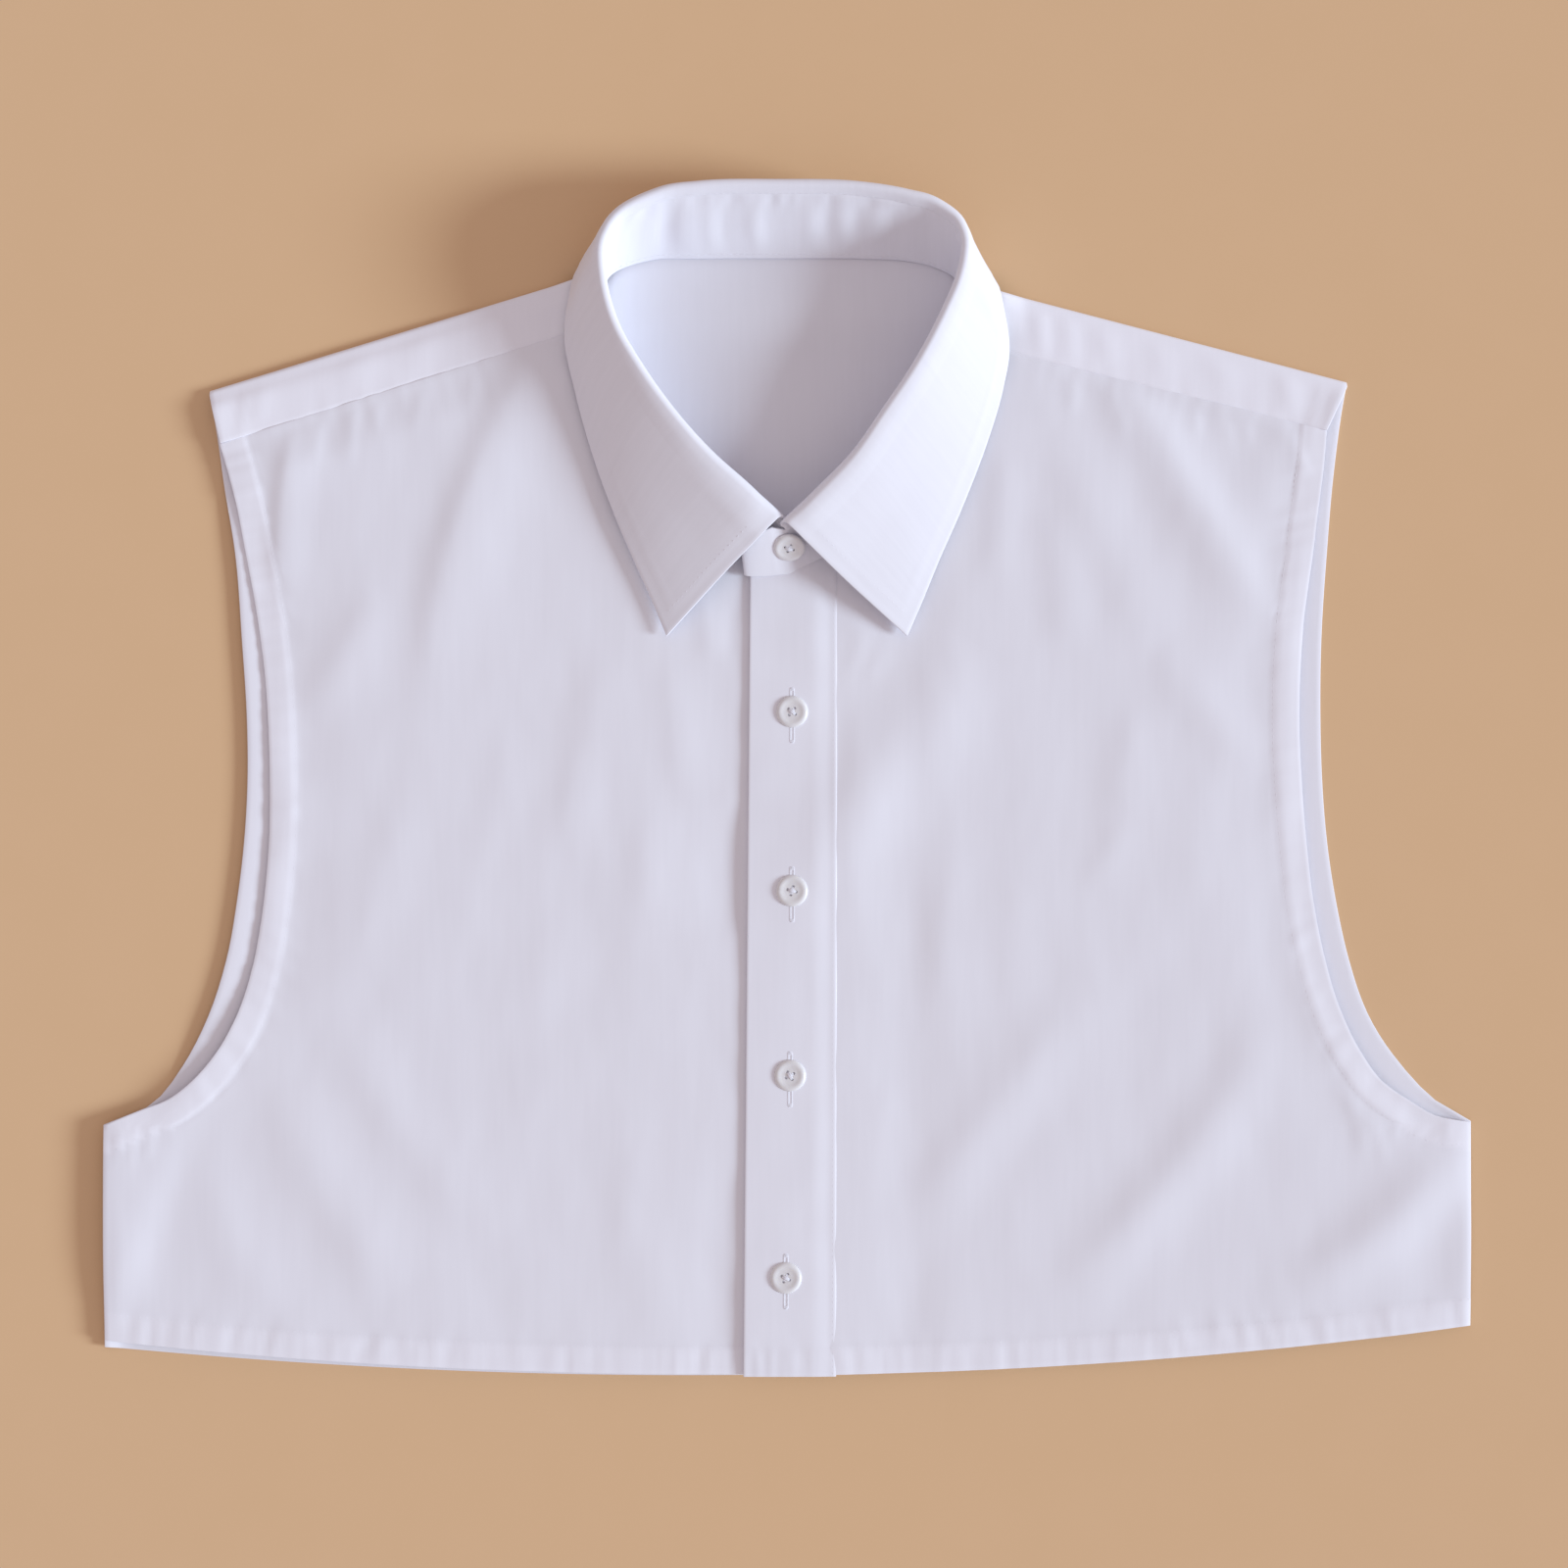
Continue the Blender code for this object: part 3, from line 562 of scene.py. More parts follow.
leftFrontSections = (
    (-15.1, -213.3, 243.4, -195.6),
    (-14.8, -172, 243.5, -160),
    (-14.5, -131, 243.5, -123.2),
    (-14.4, -126, 230.6, -120.6),
    (-14.4, -120, 221, -115),
    (-14.3, -112, 212, -108.6),
    (-14.2, -101, 204.5, -98.5),
    (-14.1, -85, 197.2, -83.6),
    (-13.9, -64, 191.1, -63.1),
    (-13.7, -43, 187.3, -43.4),
    (-13.5, -21, 185, -23.6),
    (-13.3, 3, 183.2, -1),
    (-13.1, 27, 182.4, 18),
    (-12.9, 49, 182.7, 36),
    (-12.7, 71.3, 183.8, 54),
    (1, 71.5, 184.3, 58.5),
    (15.9, 79, 185.6, 68),
    (30.2, 91.9, 187.2, 79),
    (43.6, 109, 188.5, 90),
    (54.5, 126.8, 190, 102),
    (62.8, 144.2, 191.2, 112.5),
    (66, 154, 192, 122.9),
)
cornerRows = (2, 14)  # the underarm tip, and the neckline's corner at the centre front

# Creases, each drawn from its upper end to its lower end.
# columns: x, y of one end, of the middle, of the other end, width left, width right, height
rightFrontFolds = (
    (-76, 168, -114, 98, -127, 30, 8, 14, 1.4),
    (-174, 125, -180, 94, -179, 62, 4.4, 9, 1),
    (-146, 67, -158, 44, -173, 20, 8, 10, 0.6),
    (-165, 132, -167, 122, -169, 111, 4, 2.3, 0.2),
    (-154, 137, -155, 126, -157, 110, 4.5, 2.5, 0.3),
    (-144.5, 140, -146, 132, -147, 122, 4, 2.3, 0.2),
    (-130, 139, -131, 133, -133, 124, 2.5, 3, 0.17),
    (-112, 145, -112, 139, -114, 131, 2.5, 3, 0.15),
    (-172, 2, -176, -16, -181, -38, 6, 7, 0.34),
    (-134, 4, -142, -28, -152, -62, 8, 9, 0.3),
    (-98, 20, -104, -14, -112, -46, 7, 8, 0.21),
    (-65, 50, -71, 14, -82, -28, 7, 10, 0.51),
    (-42, 42, -40, 20, -37, -8, 5, 8, 0.38),
    (-30, 66, -29, 54, -27, 40, 4, 4, 0.26),
    (-50, -12, -50, -30, -49, -50, 6, 6, 0.26),
    (-19, -8, -19.5, -33, -19, -58, 16, 7, -1),
    (-23, -138, -24, -176, -23, -212, 8, 8, -0.5),
    (-20, 62, -20, 52, -20, 42, 3, 3, -0.26),
    (-216, -117, -230, -158, -240, -190, 8, 7.5, 0.65),
    (-208, -128, -200, -160, -182, -192, 10, 10, 0.65),
    (-180, -108, -167, -142, -138, -184, 11, 13, 0.85),
    (-158, -84, -141, -120, -102, -167, 9, 11, 0.47),
    (-194, -70, -208, -106, -227, -124, 7, 8.5, 0.7),
    (-226, -122, -227, -128, -229, -137, 1.6, 1.8, 0.3),
    (-232, -124, -233, -130, -234, -139, 1.5, 1.7, 0.26),
    (-237, -126, -238, -131, -239, -137, 1.4, 1.6, 0.21),
    (-54, -128, -56, -146, -57, -166, 6, 6, 0.17),
    (-84, -60, -88, -90, -90, -128, 8, 9, 0.21),
    (-181, 60, -181, -20, -190, -92, 5, 6, 0.42),
)
leftFrontFolds = (
    (108, 157, 140, 107, 173, 50, 11, 9, 1.5),
    (94, 124, 113, 86, 130, 48, 10, 13, 0.68),
    (79, 116, 76, 93, 74, 66, 6, 7, 0.4),
    (92, 96, 97, 74, 101, 44, 7, 8, 0.45),
    (132, 46, 150, 22, 171, 2, 9, 9, 0.68),
    (66, 47, 38, 6, 4, -40, 16, 17, 1.6),
    (58, -24, 56, -50, 54, -86, 7, 8, 0.4),
    (83, -34, 82, -58, 80, -84, 7, 8, 0.3),
    (122, 28, 121, 6, 117, -18, 7, 8, 0.35),
    (121, -14, 115, -26, 106, -40, 6, 7, 0.3),
    (108, -76, 82, -110, 46, -156, 10, 11, 0.77),
    (169, -84, 150, -126, 100, -182, 10, 12, 1.19),
    (237, -128, 223, -152, 180, -182, 10, 11, 1.45),
    (203, -102, 217, -115, 232, -129, 5.5, 5.5, -0.7),
    (197, -112, 203, -122, 206, -136, 3, 3, 0.38),
    (205, -119, 210, -128, 212, -138, 2.5, 2.5, 0.3),
    (113, 143, 116, 134, 121, 120, 5, 2.4, 0.22),
    (143, 136, 144.5, 130, 147, 121, 4.2, 1.9, 0.2),
    (153.5, 134, 155, 128, 158, 118, 4.2, 1.9, 0.18),
    (161.5, 132, 163, 126, 165, 118, 4.2, 1.9, 0.2),
    (175, 130, 180, 119.5, 186, 107, 4.5, 1.8, 0.3),
    (100, 143, 101, 138, 102, 130, 3, 3.5, 0.26),
    (166, 140, 160, 118, 153, 94, 42, 12, -0.85),
    (27, 53, 25, 45, 22, 36, 3.4, 3.6, 0.2),
    (34, 47, 32, 41, 28, 34, 3.2, 3.6, 0.18),
    (186, 100, 178, 30, 179, -40, 7, 4, 0.42),
    (179, -40, 184, -75, 200, -104, 6, 4, 0.42),
    (148, 4, 146, -22, 142, -50, 8, 8, 0.26),
    (34, -100, 32, -130, 30, -160, 7, 7, 0.26),
)
# Where the whole garment is a little off the table: back and fronts rise together.
lifts = (
    (-238, -112, -243, -150, -246, -196, 40, 15, 2.4), (241, -150, 242, -172, 238, -196, 9, 20, 0.8)
)
# The lower layer comes up at the armholes and the front comes down to it at the side seams.
edges = {
    "right": {"sideDrop": 0.1, "sideReach": 4.0, "armholeRise": 1.6, "armholeReach": 20.0},
    "left": {"sideDrop": 0.3, "sideReach": 1.8, "armholeRise": 0.3, "armholeReach": 10.0},
}


def middleOf(rows):
    return (rows[:, 0:2] + rows[:, 2:4]) / 2


def frontPoints(sections, folds, wearerSide, seed):
    rows = smoothRows(sections, fronts["rowSpacing"], cornerRows, middleOf)
    shares = np.linspace(0.0, 1.0, fronts["columns"] + 1)
    x, y = spread(rows, shares, fronts["hemDip"])
    tip = np.argmin(np.abs(y[:, -1] - sections[2][3]) + 100.0 * (np.abs(x[:, -1]) < 243.0))
    outline = np.stack([x, y], axis=-1)
    z = frontTop(folds, x, y) + foldHeight(lifts, x, y)
    if wearerSide == "left":
        z = z + layers["lapRise"] * ease(*layers["lapClimb"], x)
    else:
        z = z + layers["underLap"] * ease(*layers["underLapClimb"], x)
    z = z + undulation(x, y / 1.6, *fronts["slow"], seed)
    z = z + undulation(x, y / 2.0, *fronts["fine"], seed + 5.0)
    fromHem, along = lineField(x, y, outline[0])[:2]
    z = z + hemRelief(fromHem, along, seed)
    fromArmhole, along = lineField(x, y, outline[tip:, -1])[:2]
    z = z + hemRelief(fromArmhole, along, seed + 2.0, dict(hem, **fronts["armholeHem"]))
    flat = ease(*fronts["flatBeside"], fromArmhole) * ease(*fronts["flatFrom"], y)
    z = z - layers["loft"] * flat * ease(*fronts["flatTo"], y)
    turned = hemBand(fromHem) * hem["whiter"]
    turned = np.maximum(turned, hemBand(fromArmhole) * hem["armholeWhiter"])
    edge = edges[wearerSide]
    fromSide = lineField(x, y, outline[: tip + 1, -1])[0]
    z = z - edge["sideDrop"] * ease(edge["sideReach"], 0.2, fromSide)
    fromSeam, along = lineField(x, y, outline[-1])[:2]
    pucker = fronts["seamPucker"] * ripple(along, fronts["seamPitch"], seed)
    z = z + pucker * np.exp(-fromSeam / fronts["seamReach"])
    points = np.stack([x, y, z], axis=-1)
    # the shoulder edge runs on, down and under the strip that is sewn over it
    beyond = unit(points[-1] - points[-2]) * fronts["tuck"]
    under = [points[-1] + beyond * share - (0.0, 0.0, fronts["tuckDrop"] * drop)
             for share, drop in ((0.35, 0.1), (0.65, 0.9), (1.0, 1.0))]
    turned = np.concatenate([turned, np.zeros((len(under), turned.shape[1]))])
    return np.concatenate([points, np.array(under)]), tip, turned


right, rightTip, rightTurned = frontPoints(rightFrontSections, rightFrontFolds, "right", 1.0)
left, leftTip, leftTurned = frontPoints(leftFrontSections, leftFrontFolds, "left", 4.0)
rightSheet, rightTree = clothSheet(
    "front_right_cloth", right, right[:, :, :2], fronts["wall"], panelCloth,
    flip=True, layered=rightTurned,
)
leftSheet, leftTree = clothSheet(
    "front_left_cloth", left, left[:, :, :2], fronts["wall"], panelCloth, layered=leftTurned
)
print("fronts made")


# ---- the back, with the strips that fold forward over the shoulders

back = {
    "wall": 0.6,
    "rowSpacing": 4.5,
    "hemDip": 14.0,
    "topReach": (21.0, 137.0),
    "foldRadius": 1.8,
    "foldRows": 8,
    "stripRows": 12,
    "shoulderColumns": 74,
    "neckColumns": 64,
    "seamEdge": 0.05,  # the folded edge stands proud over the front
    "neckBehind": (176.5, 63.0),  # y over and |x| under these is the back's own neckline
    "neckClear": -0.6,  # the neck edge runs on under the stand's foot
    "underFoot": 0.95,
    "footReach": (16.0, 0.5),
    "footAcross": (66.0, 56.0),
    "sideReach": (6.0, 0.5),
    "armholeEnd": (10.0, 60.0),  # along an armhole, from either end
    "hemBand": (11.0, 7.0),
    "whiter": {"single": -0.6, "strips": 0.95},
    "rollDrop": {"right": 0.9, "left": 0.5},  # the strip falls softly to the shoulder fold
    "rollReach": 3.6,
}
# Rows go from the hem up to the shoulder tips. columns: left x, left y, right x, right y
backSections = (
    (-243.5, -203.4, 243.5, -195.3),
    (-243.8, -163, 243.8, -160),
    (-243.7, -124, 243.8, -122.8),
    (-228.7, -118.1, 231.3, -115.5),
    (-215.8, -103.3, 216, -99),
    (-206.7, -85.8, 207, -84.4),
    (-200.2, -65.7, 200.6, -66.1),
    (-196.4, -45, 195.7, -44.1),
    (-193.8, -23.6, 192.6, -23.6),
    (-192.5, 1, 190.7, 1),
    (-192.8, 21.2, 190.2, 21),
    (-194.5, 47.9, 190.5, 47.9),
    (-197.2, 81.4, 192.7, 82.6),
    (-201, 104, 194.5, 104),
    (-203, 118, 196.2, 118.5),
    (-204.6, 128, 197.8, 130),
    (-206, 135.7, 199.4, 138.8),
)
# columns: x, y of the shoulder fold's two ends, then of the forward seam's
shoulders = {
    "right": ((-206.0, 137.5), (-67.4, 179.9), (-202.0, 118.6), (-69.3, 160.8)),
    "left": ((199.4, 140.6), (65.2, 175.7), (192.0, 123.2), (66.1, 154.4)),
}
stripFolds = (
    (78.5, 173, 78, 163, 79, 152, 3.5, 3.5, -0.7),
    (89, 174, 90, 162, 91, 148, 4.5, 3, 0.45),
    (99.5, 170, 100.5, 158, 101, 146, 4.2, 3, 0.33),
    (112, 164, 113, 156, 115, 146, 4.5, 4.5, 0.3),
    (131, 158, 133, 150, 134, 141, 4, 5, 0.2),
    (150, 154, 154, 146, 157, 136, 5, 5, 0.25),
    (176, 147, 178, 138, 179, 128, 3.5, 4.5, 0.4),
    (203, 149, 196.5, 132, 190, 115, 5, 6, 1),
    (193, 148, 189.5, 133, 184, 118, 2.6, 1, 0.25),
    (-106, 168, -105, 160, -104, 150, 4, 5, 0.35),
    (-152, 154, -154, 146, -156, 136, 6, 7, 0.25),
    (-187, 142, -188, 134, -189, 124, 3, 4, 0.35),
    (-207, 146, -204, 128, -200, 110, 5, 6.5, 0.8),
    (-192, 146, -194, 131, -195, 117, 1.4, 3, 0.3),
    (-130, 160, -131, 152, -133, 142, 6, 6, 0.25),
)
insideFolds = ((-5, 182, -8, 146, -5, 100, 34, 24, 2.6), (26, 178, 24, 158, 20, 132, 8, 8, 0.4))


def straight(ends, x):
    (x0, y0), (x1, y1) = ends
    return y0 + (y1 - y0) * (x - x0) / (x1 - x0)


def stripRows(x, side):
    tip, neck, seamTip, seamNeck = shoulders[side]
    radius, drop = back["foldRadius"], back["rollDrop"][side]
    foldY = straight((tip, neck), x) - radius
    seamX = seamTip[0] + (x - tip[0]) / (neck[0] - tip[0]) * (seamNeck[0] - seamTip[0])
    seamY = straight((seamTip, seamNeck), seamX)
    rise = neckRise(x, foldY)
    rows = []
    for angle in np.linspace(0.0, math.pi, back["foldRows"] + 1)[1:]:
        high = 0.5 * (1.0 - math.cos(angle))
        y = foldY + radius * math.sin(angle)
        rows.append(np.stack([x, y, rise + (2.0 * radius - drop) * high], axis=-1))
    for part in np.arange(1, back["stripRows"] + 1) / back["stripRows"]:
        xHere = x + part * (seamX - x)
        yHere = foldY + part * (seamY - foldY)
        z = 2.0 * radius + neckRise(xHere, yHere) + back["seamEdge"] * part**6
        z = z + foldHeight(stripFolds, xHere, yHere) * min(1.0, 4.0 * part)
        z = z + fronts["seamPucker"] * ripple(xHere * 1.05, fronts["seamPitch"], 2.0) * part**2
        z = z - drop * bell(foldY - yHere, back["rollReach"])
        rows.append(np.stack([xHere, yHere, z], axis=-1))
    return np.array(rows)


def backPoints(neckLine):
    rows = smoothRows(backSections, back["rowSpacing"], cornerRows[:1], middleOf)
    (rightTipAt, rightNeck), (leftTipAt, leftNeck) = (shoulders[s][:2] for s in ("right", "left"))
    shoulderShare = np.linspace(0.0, 1.0, back["shoulderColumns"] + 1)
    neckShare = np.linspace(0.0, 1.0, back["neckColumns"] + 1)[1:-1]
    spans = (
        (rightTipAt, rightNeck, shoulderShare),
        (rightNeck, leftNeck, neckShare),
        (leftNeck, leftTipAt, shoulderShare),
    )
    top = np.concatenate([start[0] + (end[0] - start[0]) * part for start, end, part in spans])
    shares = (top - rightTipAt[0]) / (leftTipAt[0] - rightTipAt[0])
    x, y = spread(rows, shares, back["hemDip"])
    shoulder = np.where(top < 0.0, *(straight(shoulders[s][:2], top) for s in ("right", "left")))
    inside = (top > rightNeck[0] + 0.5) & (top < leftNeck[0] - 0.5)
    topY = np.where(inside, np.interp(top, *neckLine[:2]), shoulder - back["foldRadius"])
    low, high = back["topReach"]
    y = y + np.clip((y - low) / (high - low), 0.0, 1.0) * (topY - y[-1])
    z = neckRise(x, y)
    for folds in (insideFolds, lifts):
        z = z + np.clip(foldHeight(folds, x, y), 0.0, None)
    underFoot = np.interp(top, neckLine[0], neckLine[2]) - back["underFoot"]
    atNeck = inside * ease(*back["footReach"], topY - y) * ease(*back["footAcross"], np.abs(x))
    z = z + atNeck * (underFoot - z)
    tip = int(np.argmax(y[:, 0] > backSections[2][1] - 0.01))
    outline = np.stack([x, y], axis=-1)
    for column, wearerSide in ((0, "right"), (-1, "left")):
        edge = edges[wearerSide]
        fromSide = lineField(x, y, outline[: tip + 1, column])[0]
        z = z + (layers["sideGap"] - edge["sideDrop"]) * ease(*back["sideReach"], fromSide)
        distance, along, length, _ = lineField(x, y, outline[tip:, column])
        ends = ease(*back["armholeEnd"], along) * ease(length, length - back["armholeEnd"][1], along)
        z = z + edge["armholeRise"] * ends * ease(edge["armholeReach"], 0.5, distance)
    body = np.stack([x, y, z], axis=-1)
    strips = np.where((top < 0.0)[:, None], *(stripRows(top, s) for s in ("right", "left")))
    return body, np.concatenate([body, strips])


# ---- the collar: a stand with a tab at each end, and a leaf that rolls over it

collar = {
    "rowSpacing": 1.5,
    "wall": 1.0,
    "standColumns": 16,
    "leafColumns": (1, 2, 2, 2, 2, 2, 2, 7, 7, 4, 4, 7, 7),
    "fallFrom": 13,  # the column where the leaf has left its roll
    "foldRadius": 1.35,
    "leafRise": 4.0,
    "seamLap": 0.3,  # the leaf is sewn a little over the stand's top
    "leafRest": 0.65,
    "leafBend": 0.3,
    "roundFrom": (128.0, 96.0),  # the fold is tight behind and rounder towards the front
    "frontRadius": 2.3,
    "shoulderRun": 7.5,
    "shoulderLift": 1.3,  # the wearer's right end falls away late
    "evenFrom": (186.0, 172.0),  # behind the neck the leaf hangs, and from here on it lies out
    "squareOver": 13.0,  # the roll turns square with the leaf's end over this length
    "edgeDrop": 1.7,
    "topstitch": 5.6,
    "puff": 0.05,
    "sink": 0.07,
    "gather": 0.5,
    "gatherPitch": 12.0,
    "tooth": 0.3,
    "toothPitch": 6.3,
    "toothReach": 0.16,  # of the stand's height
    "nape": (150.0, 172.0),  # gathers come in between these, and the stand's stitching starts
    "flatColumns": (6.0, 14.0),  # the leaf's puff and seam come in after its roll
    "buttonHeight": 0.52,  # the button's share of the stand's height
    "buttonX": 0.8,
    "stitchClear": 4.9,  # the topstitching turns its corners this far from every edge
    "stitchLift": 0.46,
    "standStitch": 0.57,
}
# Round the neck from the centre front of the wearer's right side, by the back, to the left.
# columns: x, y, z of the stand's foot, of the fold, of the bend in the leaf and of its edge
collarSections = (
    (0, 72.3, 2, -3, 91.2, 18, -23.1, 71.2, 15.3, -42.9, 49.9, 7.5),
    (-14.5, 79.7, 2.2, -14.2, 102.3, 19.5, -31.5, 83.5, 16, -48.2, 62.5, 7.6),
    (-28.5, 91.8, 2.6, -26.2, 112.9, 21, -40.5, 95, 17, -54, 75.5, 7.8),
    (-42, 107.5, 3, -39.2, 127, 23, -51.5, 112, 18.3, -62, 94.5, 8.2),
    (-54.3, 125.8, 3.2, -52.1, 144.6, 24.5, -62.5, 131.5, 19.5, -69.6, 116, 8.5),
    (-63.6, 143, 3.6, -61.3, 161.3, 25, -70.6, 150.5, 19.5, -75.4, 137.5, 8.5),
    (-67.6, 157.5, 4.8, -65.1, 175.8, 25, -73.6, 166, 18.5, -78.9, 155.3, 8.4),
    (-67, 168.3, 5.4, -65.9, 186.3, 24.5, -73.2, 178, 14.8, -77.6, 168.3, 8.2),
    (-65.5, 174.3, 5.1, -64.2, 192, 24, -70.5, 186, 11, -74.6, 180, 5.1),
    (-64.1, 177.4, 4.6, -62.2, 195.7, 23.5, -68, 187, 5.6, -71.4, 181.9, 2.4),
    (-61.8, 179.6, 3.9, -59.3, 199, 23, -64.5, 186, 1.5, -66.5, 178.6, 0.7),
    (-48.5, 184.2, 3.1, -45.3, 206.3, 22, -49.5, 187.6, 0.8, -54, 173, 0.7),
    (-32, 184.7, 3, -31.5, 208.7, 21.5, -32.5, 187.2, 0.7, -34, 172, 0.7),
    (-3, 184.8, 3, -3, 209.4, 21, -3, 187, 0.7, -3, 172, 0.7),
    (27, 184.7, 3, 25.5, 208.5, 21.5, 27, 187.2, 0.7, 28.5, 172, 0.7),
    (43.5, 183.7, 3.1, 42, 205.7, 22, 44.5, 187.1, 0.8, 48.5, 173, 0.7),
    (53, 181.4, 3.4, 52.2, 202.6, 22.4, 55.5, 185.6, 0.9, 60, 173.5, 0.7),
    (58.9, 178.4, 4, 58.9, 197.9, 22.9, 62.2, 183.4, 1.5, 64.6, 174.8, 0.7),
    (61.3, 175.5, 4.6, 61.2, 194.4, 23.4, 66.8, 184.2, 5.6, 70.2, 178, 2.4),
    (63, 172.2, 5.1, 62.5, 190.4, 23.9, 69.2, 182.4, 11, 73.8, 176, 5.1),
    (64.6, 165.5, 5.4, 62.3, 184.2, 24.5, 71, 174.6, 15, 76.9, 164, 8.2),
    (65, 157, 4.9, 60.2, 175.6, 25, 71.4, 163, 18.5, 78.6, 152, 8.4),
    (61.6, 145, 3.8, 55.5, 164.6, 25, 68, 149.5, 19.5, 76.6, 138.5, 8.5),
    (53.3, 127.3, 3.5, 46.3, 147, 24.5, 60, 131, 19.5, 70.8, 118.5, 8.5),
    (42.5, 109.6, 3.3, 34.5, 129.4, 23, 48.5, 112.5, 18.3, 62.1, 95.7, 8.2),
    (29.5, 92.8, 3.4, 22.6, 112.9, 21, 38.5, 95, 17, 53.5, 76, 7.8),
    (15.3, 80, 3.9, 10.6, 100.7, 19.6, 29.5, 82.5, 16.3, 47.8, 62, 7.6),
    (1, 72.4, 4.1, -0.7, 89.5, 18.9, 20.6, 69.4, 16.2, 42.5, 49.9, 7.5),
)
# columns: x, y, z of the tab's foot, share of the stand's height that is left there
underTab = (
    (13.4, 78.2, 1.9, 0.34), (11.6, 77.2, 1.9, 0.62), (8.4, 75.4, 1.9, 0.85), (4.4, 73.5, 2, 0.97)
)
overTab = (
    (-3.5, 71.9, 5, 1.08),
    (-7.8, 71.5, 5.1, 1),
    (-11.4, 71.4, 5.2, 0.84),
    (-14.2, 71.5, 5.2, 0.62),
    (-15.3, 71.9, 5.2, 0.44),
)


def collarFrames(rows):
    foot, fold, bend, edge = (rows[:, 3 * k : 3 * k + 3] for k in range(4))
    up = unit(fold - foot)
    out = unit(np.cross(up, unit(np.gradient((foot + fold) / 2, axis=0))))
    turn = fold - collar["foldRadius"] * (up + out)
    rise = unit(turn - foot)
    top = turn - (collar["leafRise"] - collar["foldRadius"]) * rise
    return foot, fold, bend, edge, up, out, rise, top


def standPoints(rows):
    foot, *_, top = collarFrames(rows)
    under, over = (smoothRows(tab, collar["rowSpacing"]) for tab in (underTab, overTab))
    footLine = np.concatenate([under[:, :3], foot, over[:, :3]])
    height = np.concatenate(
        [under[:, 3:] * (top[0] - foot[0]), top - foot, over[:, 3:] * (top[-1] - foot[-1])]
    )
    shares = np.linspace(0.0, 1.0, collar["standColumns"] + 1)
    return footLine[:, None, :] + height[:, None, :] * shares[None, :, None], len(under)


def leafPoints(rows):
    _, fold, bend, edge, up, out, rise, top = collarFrames(rows)
    bend, edge = bend.copy(), edge.copy()
    front = ease(*collar["roundFrom"], fold[:, 1])
    radius = collar["foldRadius"] + (collar["frontRadius"] - collar["foldRadius"]) * front[:, None]
    level = (bend - fold) * (1.0, 1.0, 0.0)
    reach = np.linalg.norm(level, axis=1)
    gentle = ease(*collar["evenFrom"], fold[:, 1])
    edge[:, 2] -= collar["edgeDrop"] * gentle
    whole = reach + np.linalg.norm((edge - bend)[:, :2], axis=1)
    even = fold[:, 2] + (edge[:, 2] - fold[:, 2]) * reach / whole
    bend[:, 2] += (even - bend[:, 2]) * gentle
    # the end rows roll in the plane of the leaf's own end, so that it stays a straight edge
    place = np.arange(len(rows))
    fromEnd = collar["rowSpacing"] * np.minimum(place, place[::-1])
    squared = ease(collar["squareOver"], 0.0, fromEnd)[:, None]
    endward = unit(level) - (unit(level) * up).sum(axis=1, keepdims=True) * up
    out = unit(out * (1.0 - squared) + unit(endward) * squared)
    fall = bend - fold
    last = np.arctan2((fall * out).sum(axis=1), (fall * up).sum(axis=1))
    last = np.where(last < 0.0, last + 2.0 * math.pi, last)[:, None]
    lap = collar["seamLap"]
    lines = [top - lap * rise - 0.12 * out, top + 2.0 * lap * rise - 0.08 * out]
    for angle in (last * share for share in (0.0, 0.25, 0.5, 0.75, 1.0)):
        lines.append(fold - radius * up + radius * (up * np.sin(angle) - out * np.cos(angle)))
    lift = np.where(place < len(rows) // 2, front * collar["shoulderLift"], 0.0)
    run = np.minimum(collar["shoulderRun"], 0.4 * reach)[:, None]
    drop = lines[-1] + run * unit(bend - lines[-1])
    drop[:, 2] += lift
    bend[:, 2] += 0.5 * lift
    shorter = np.minimum(*(np.linalg.norm(end - bend, axis=1) for end in (drop, edge)))
    cut = collar["leafBend"] * shorter[:, None]
    before, after = cut * unit(drop - bend), cut * unit(edge - bend)
    lines += [drop, (drop + bend + before) / 2, bend + before, bend + (before + after) / 4]
    lines += [bend + after, (edge + bend + after) / 2, edge]
    points = refineAcross(np.stack(lines, axis=1), collar["leafColumns"])
    points[:, :, 2] = np.maximum(points[:, :, 2], collar["leafRest"])
    return points


def arcUv(points, column):
    # threads follow the cloth: lengths along one column, and across from it
    along, across = (np.linalg.norm(np.diff(points, axis=k), axis=2) for k in (0, 1))
    along = np.concatenate([[0.0], np.cumsum(along[:, column])])[:, None]
    across = np.concatenate([np.zeros_like(along), np.cumsum(across, axis=1)], axis=1)
    return np.stack([np.broadcast_to(along, across.shape), across], axis=-1)


def edgeDistance(points, line):
    # distance in space from each grid point to a line of points
    flat = points.reshape(-1, 3)
    nearest = np.full(len(flat), 1e9)
    for start, end in zip(line, line[1:]):
        run = end - start
        size = max(float(run @ run), 1e-9)
        t = np.clip((flat - start) @ run / size, 0.0, 1.0)
        nearest = np.minimum(nearest, np.linalg.norm(flat - start - t[:, None] * run, axis=1))
    return nearest.reshape(points.shape[:2])


collarRows = smoothRows(collarSections, collar["rowSpacing"], measure=lambda rows: rows[:, 3:6])
neckFoot = collarRows[:, 0:2]
behindY, besideX = back["neckBehind"]
behind = (neckFoot[:, 1] > behindY) & (np.abs(neckFoot[:, 0]) < besideX)
neckLine = (neckFoot[behind, 0], neckFoot[behind, 1] - back["neckClear"], collarRows[behind, 2])

body, wholeBack = backPoints(neckLine)
lowerRows, sideColumns = len(body) - 1, back["shoulderColumns"]
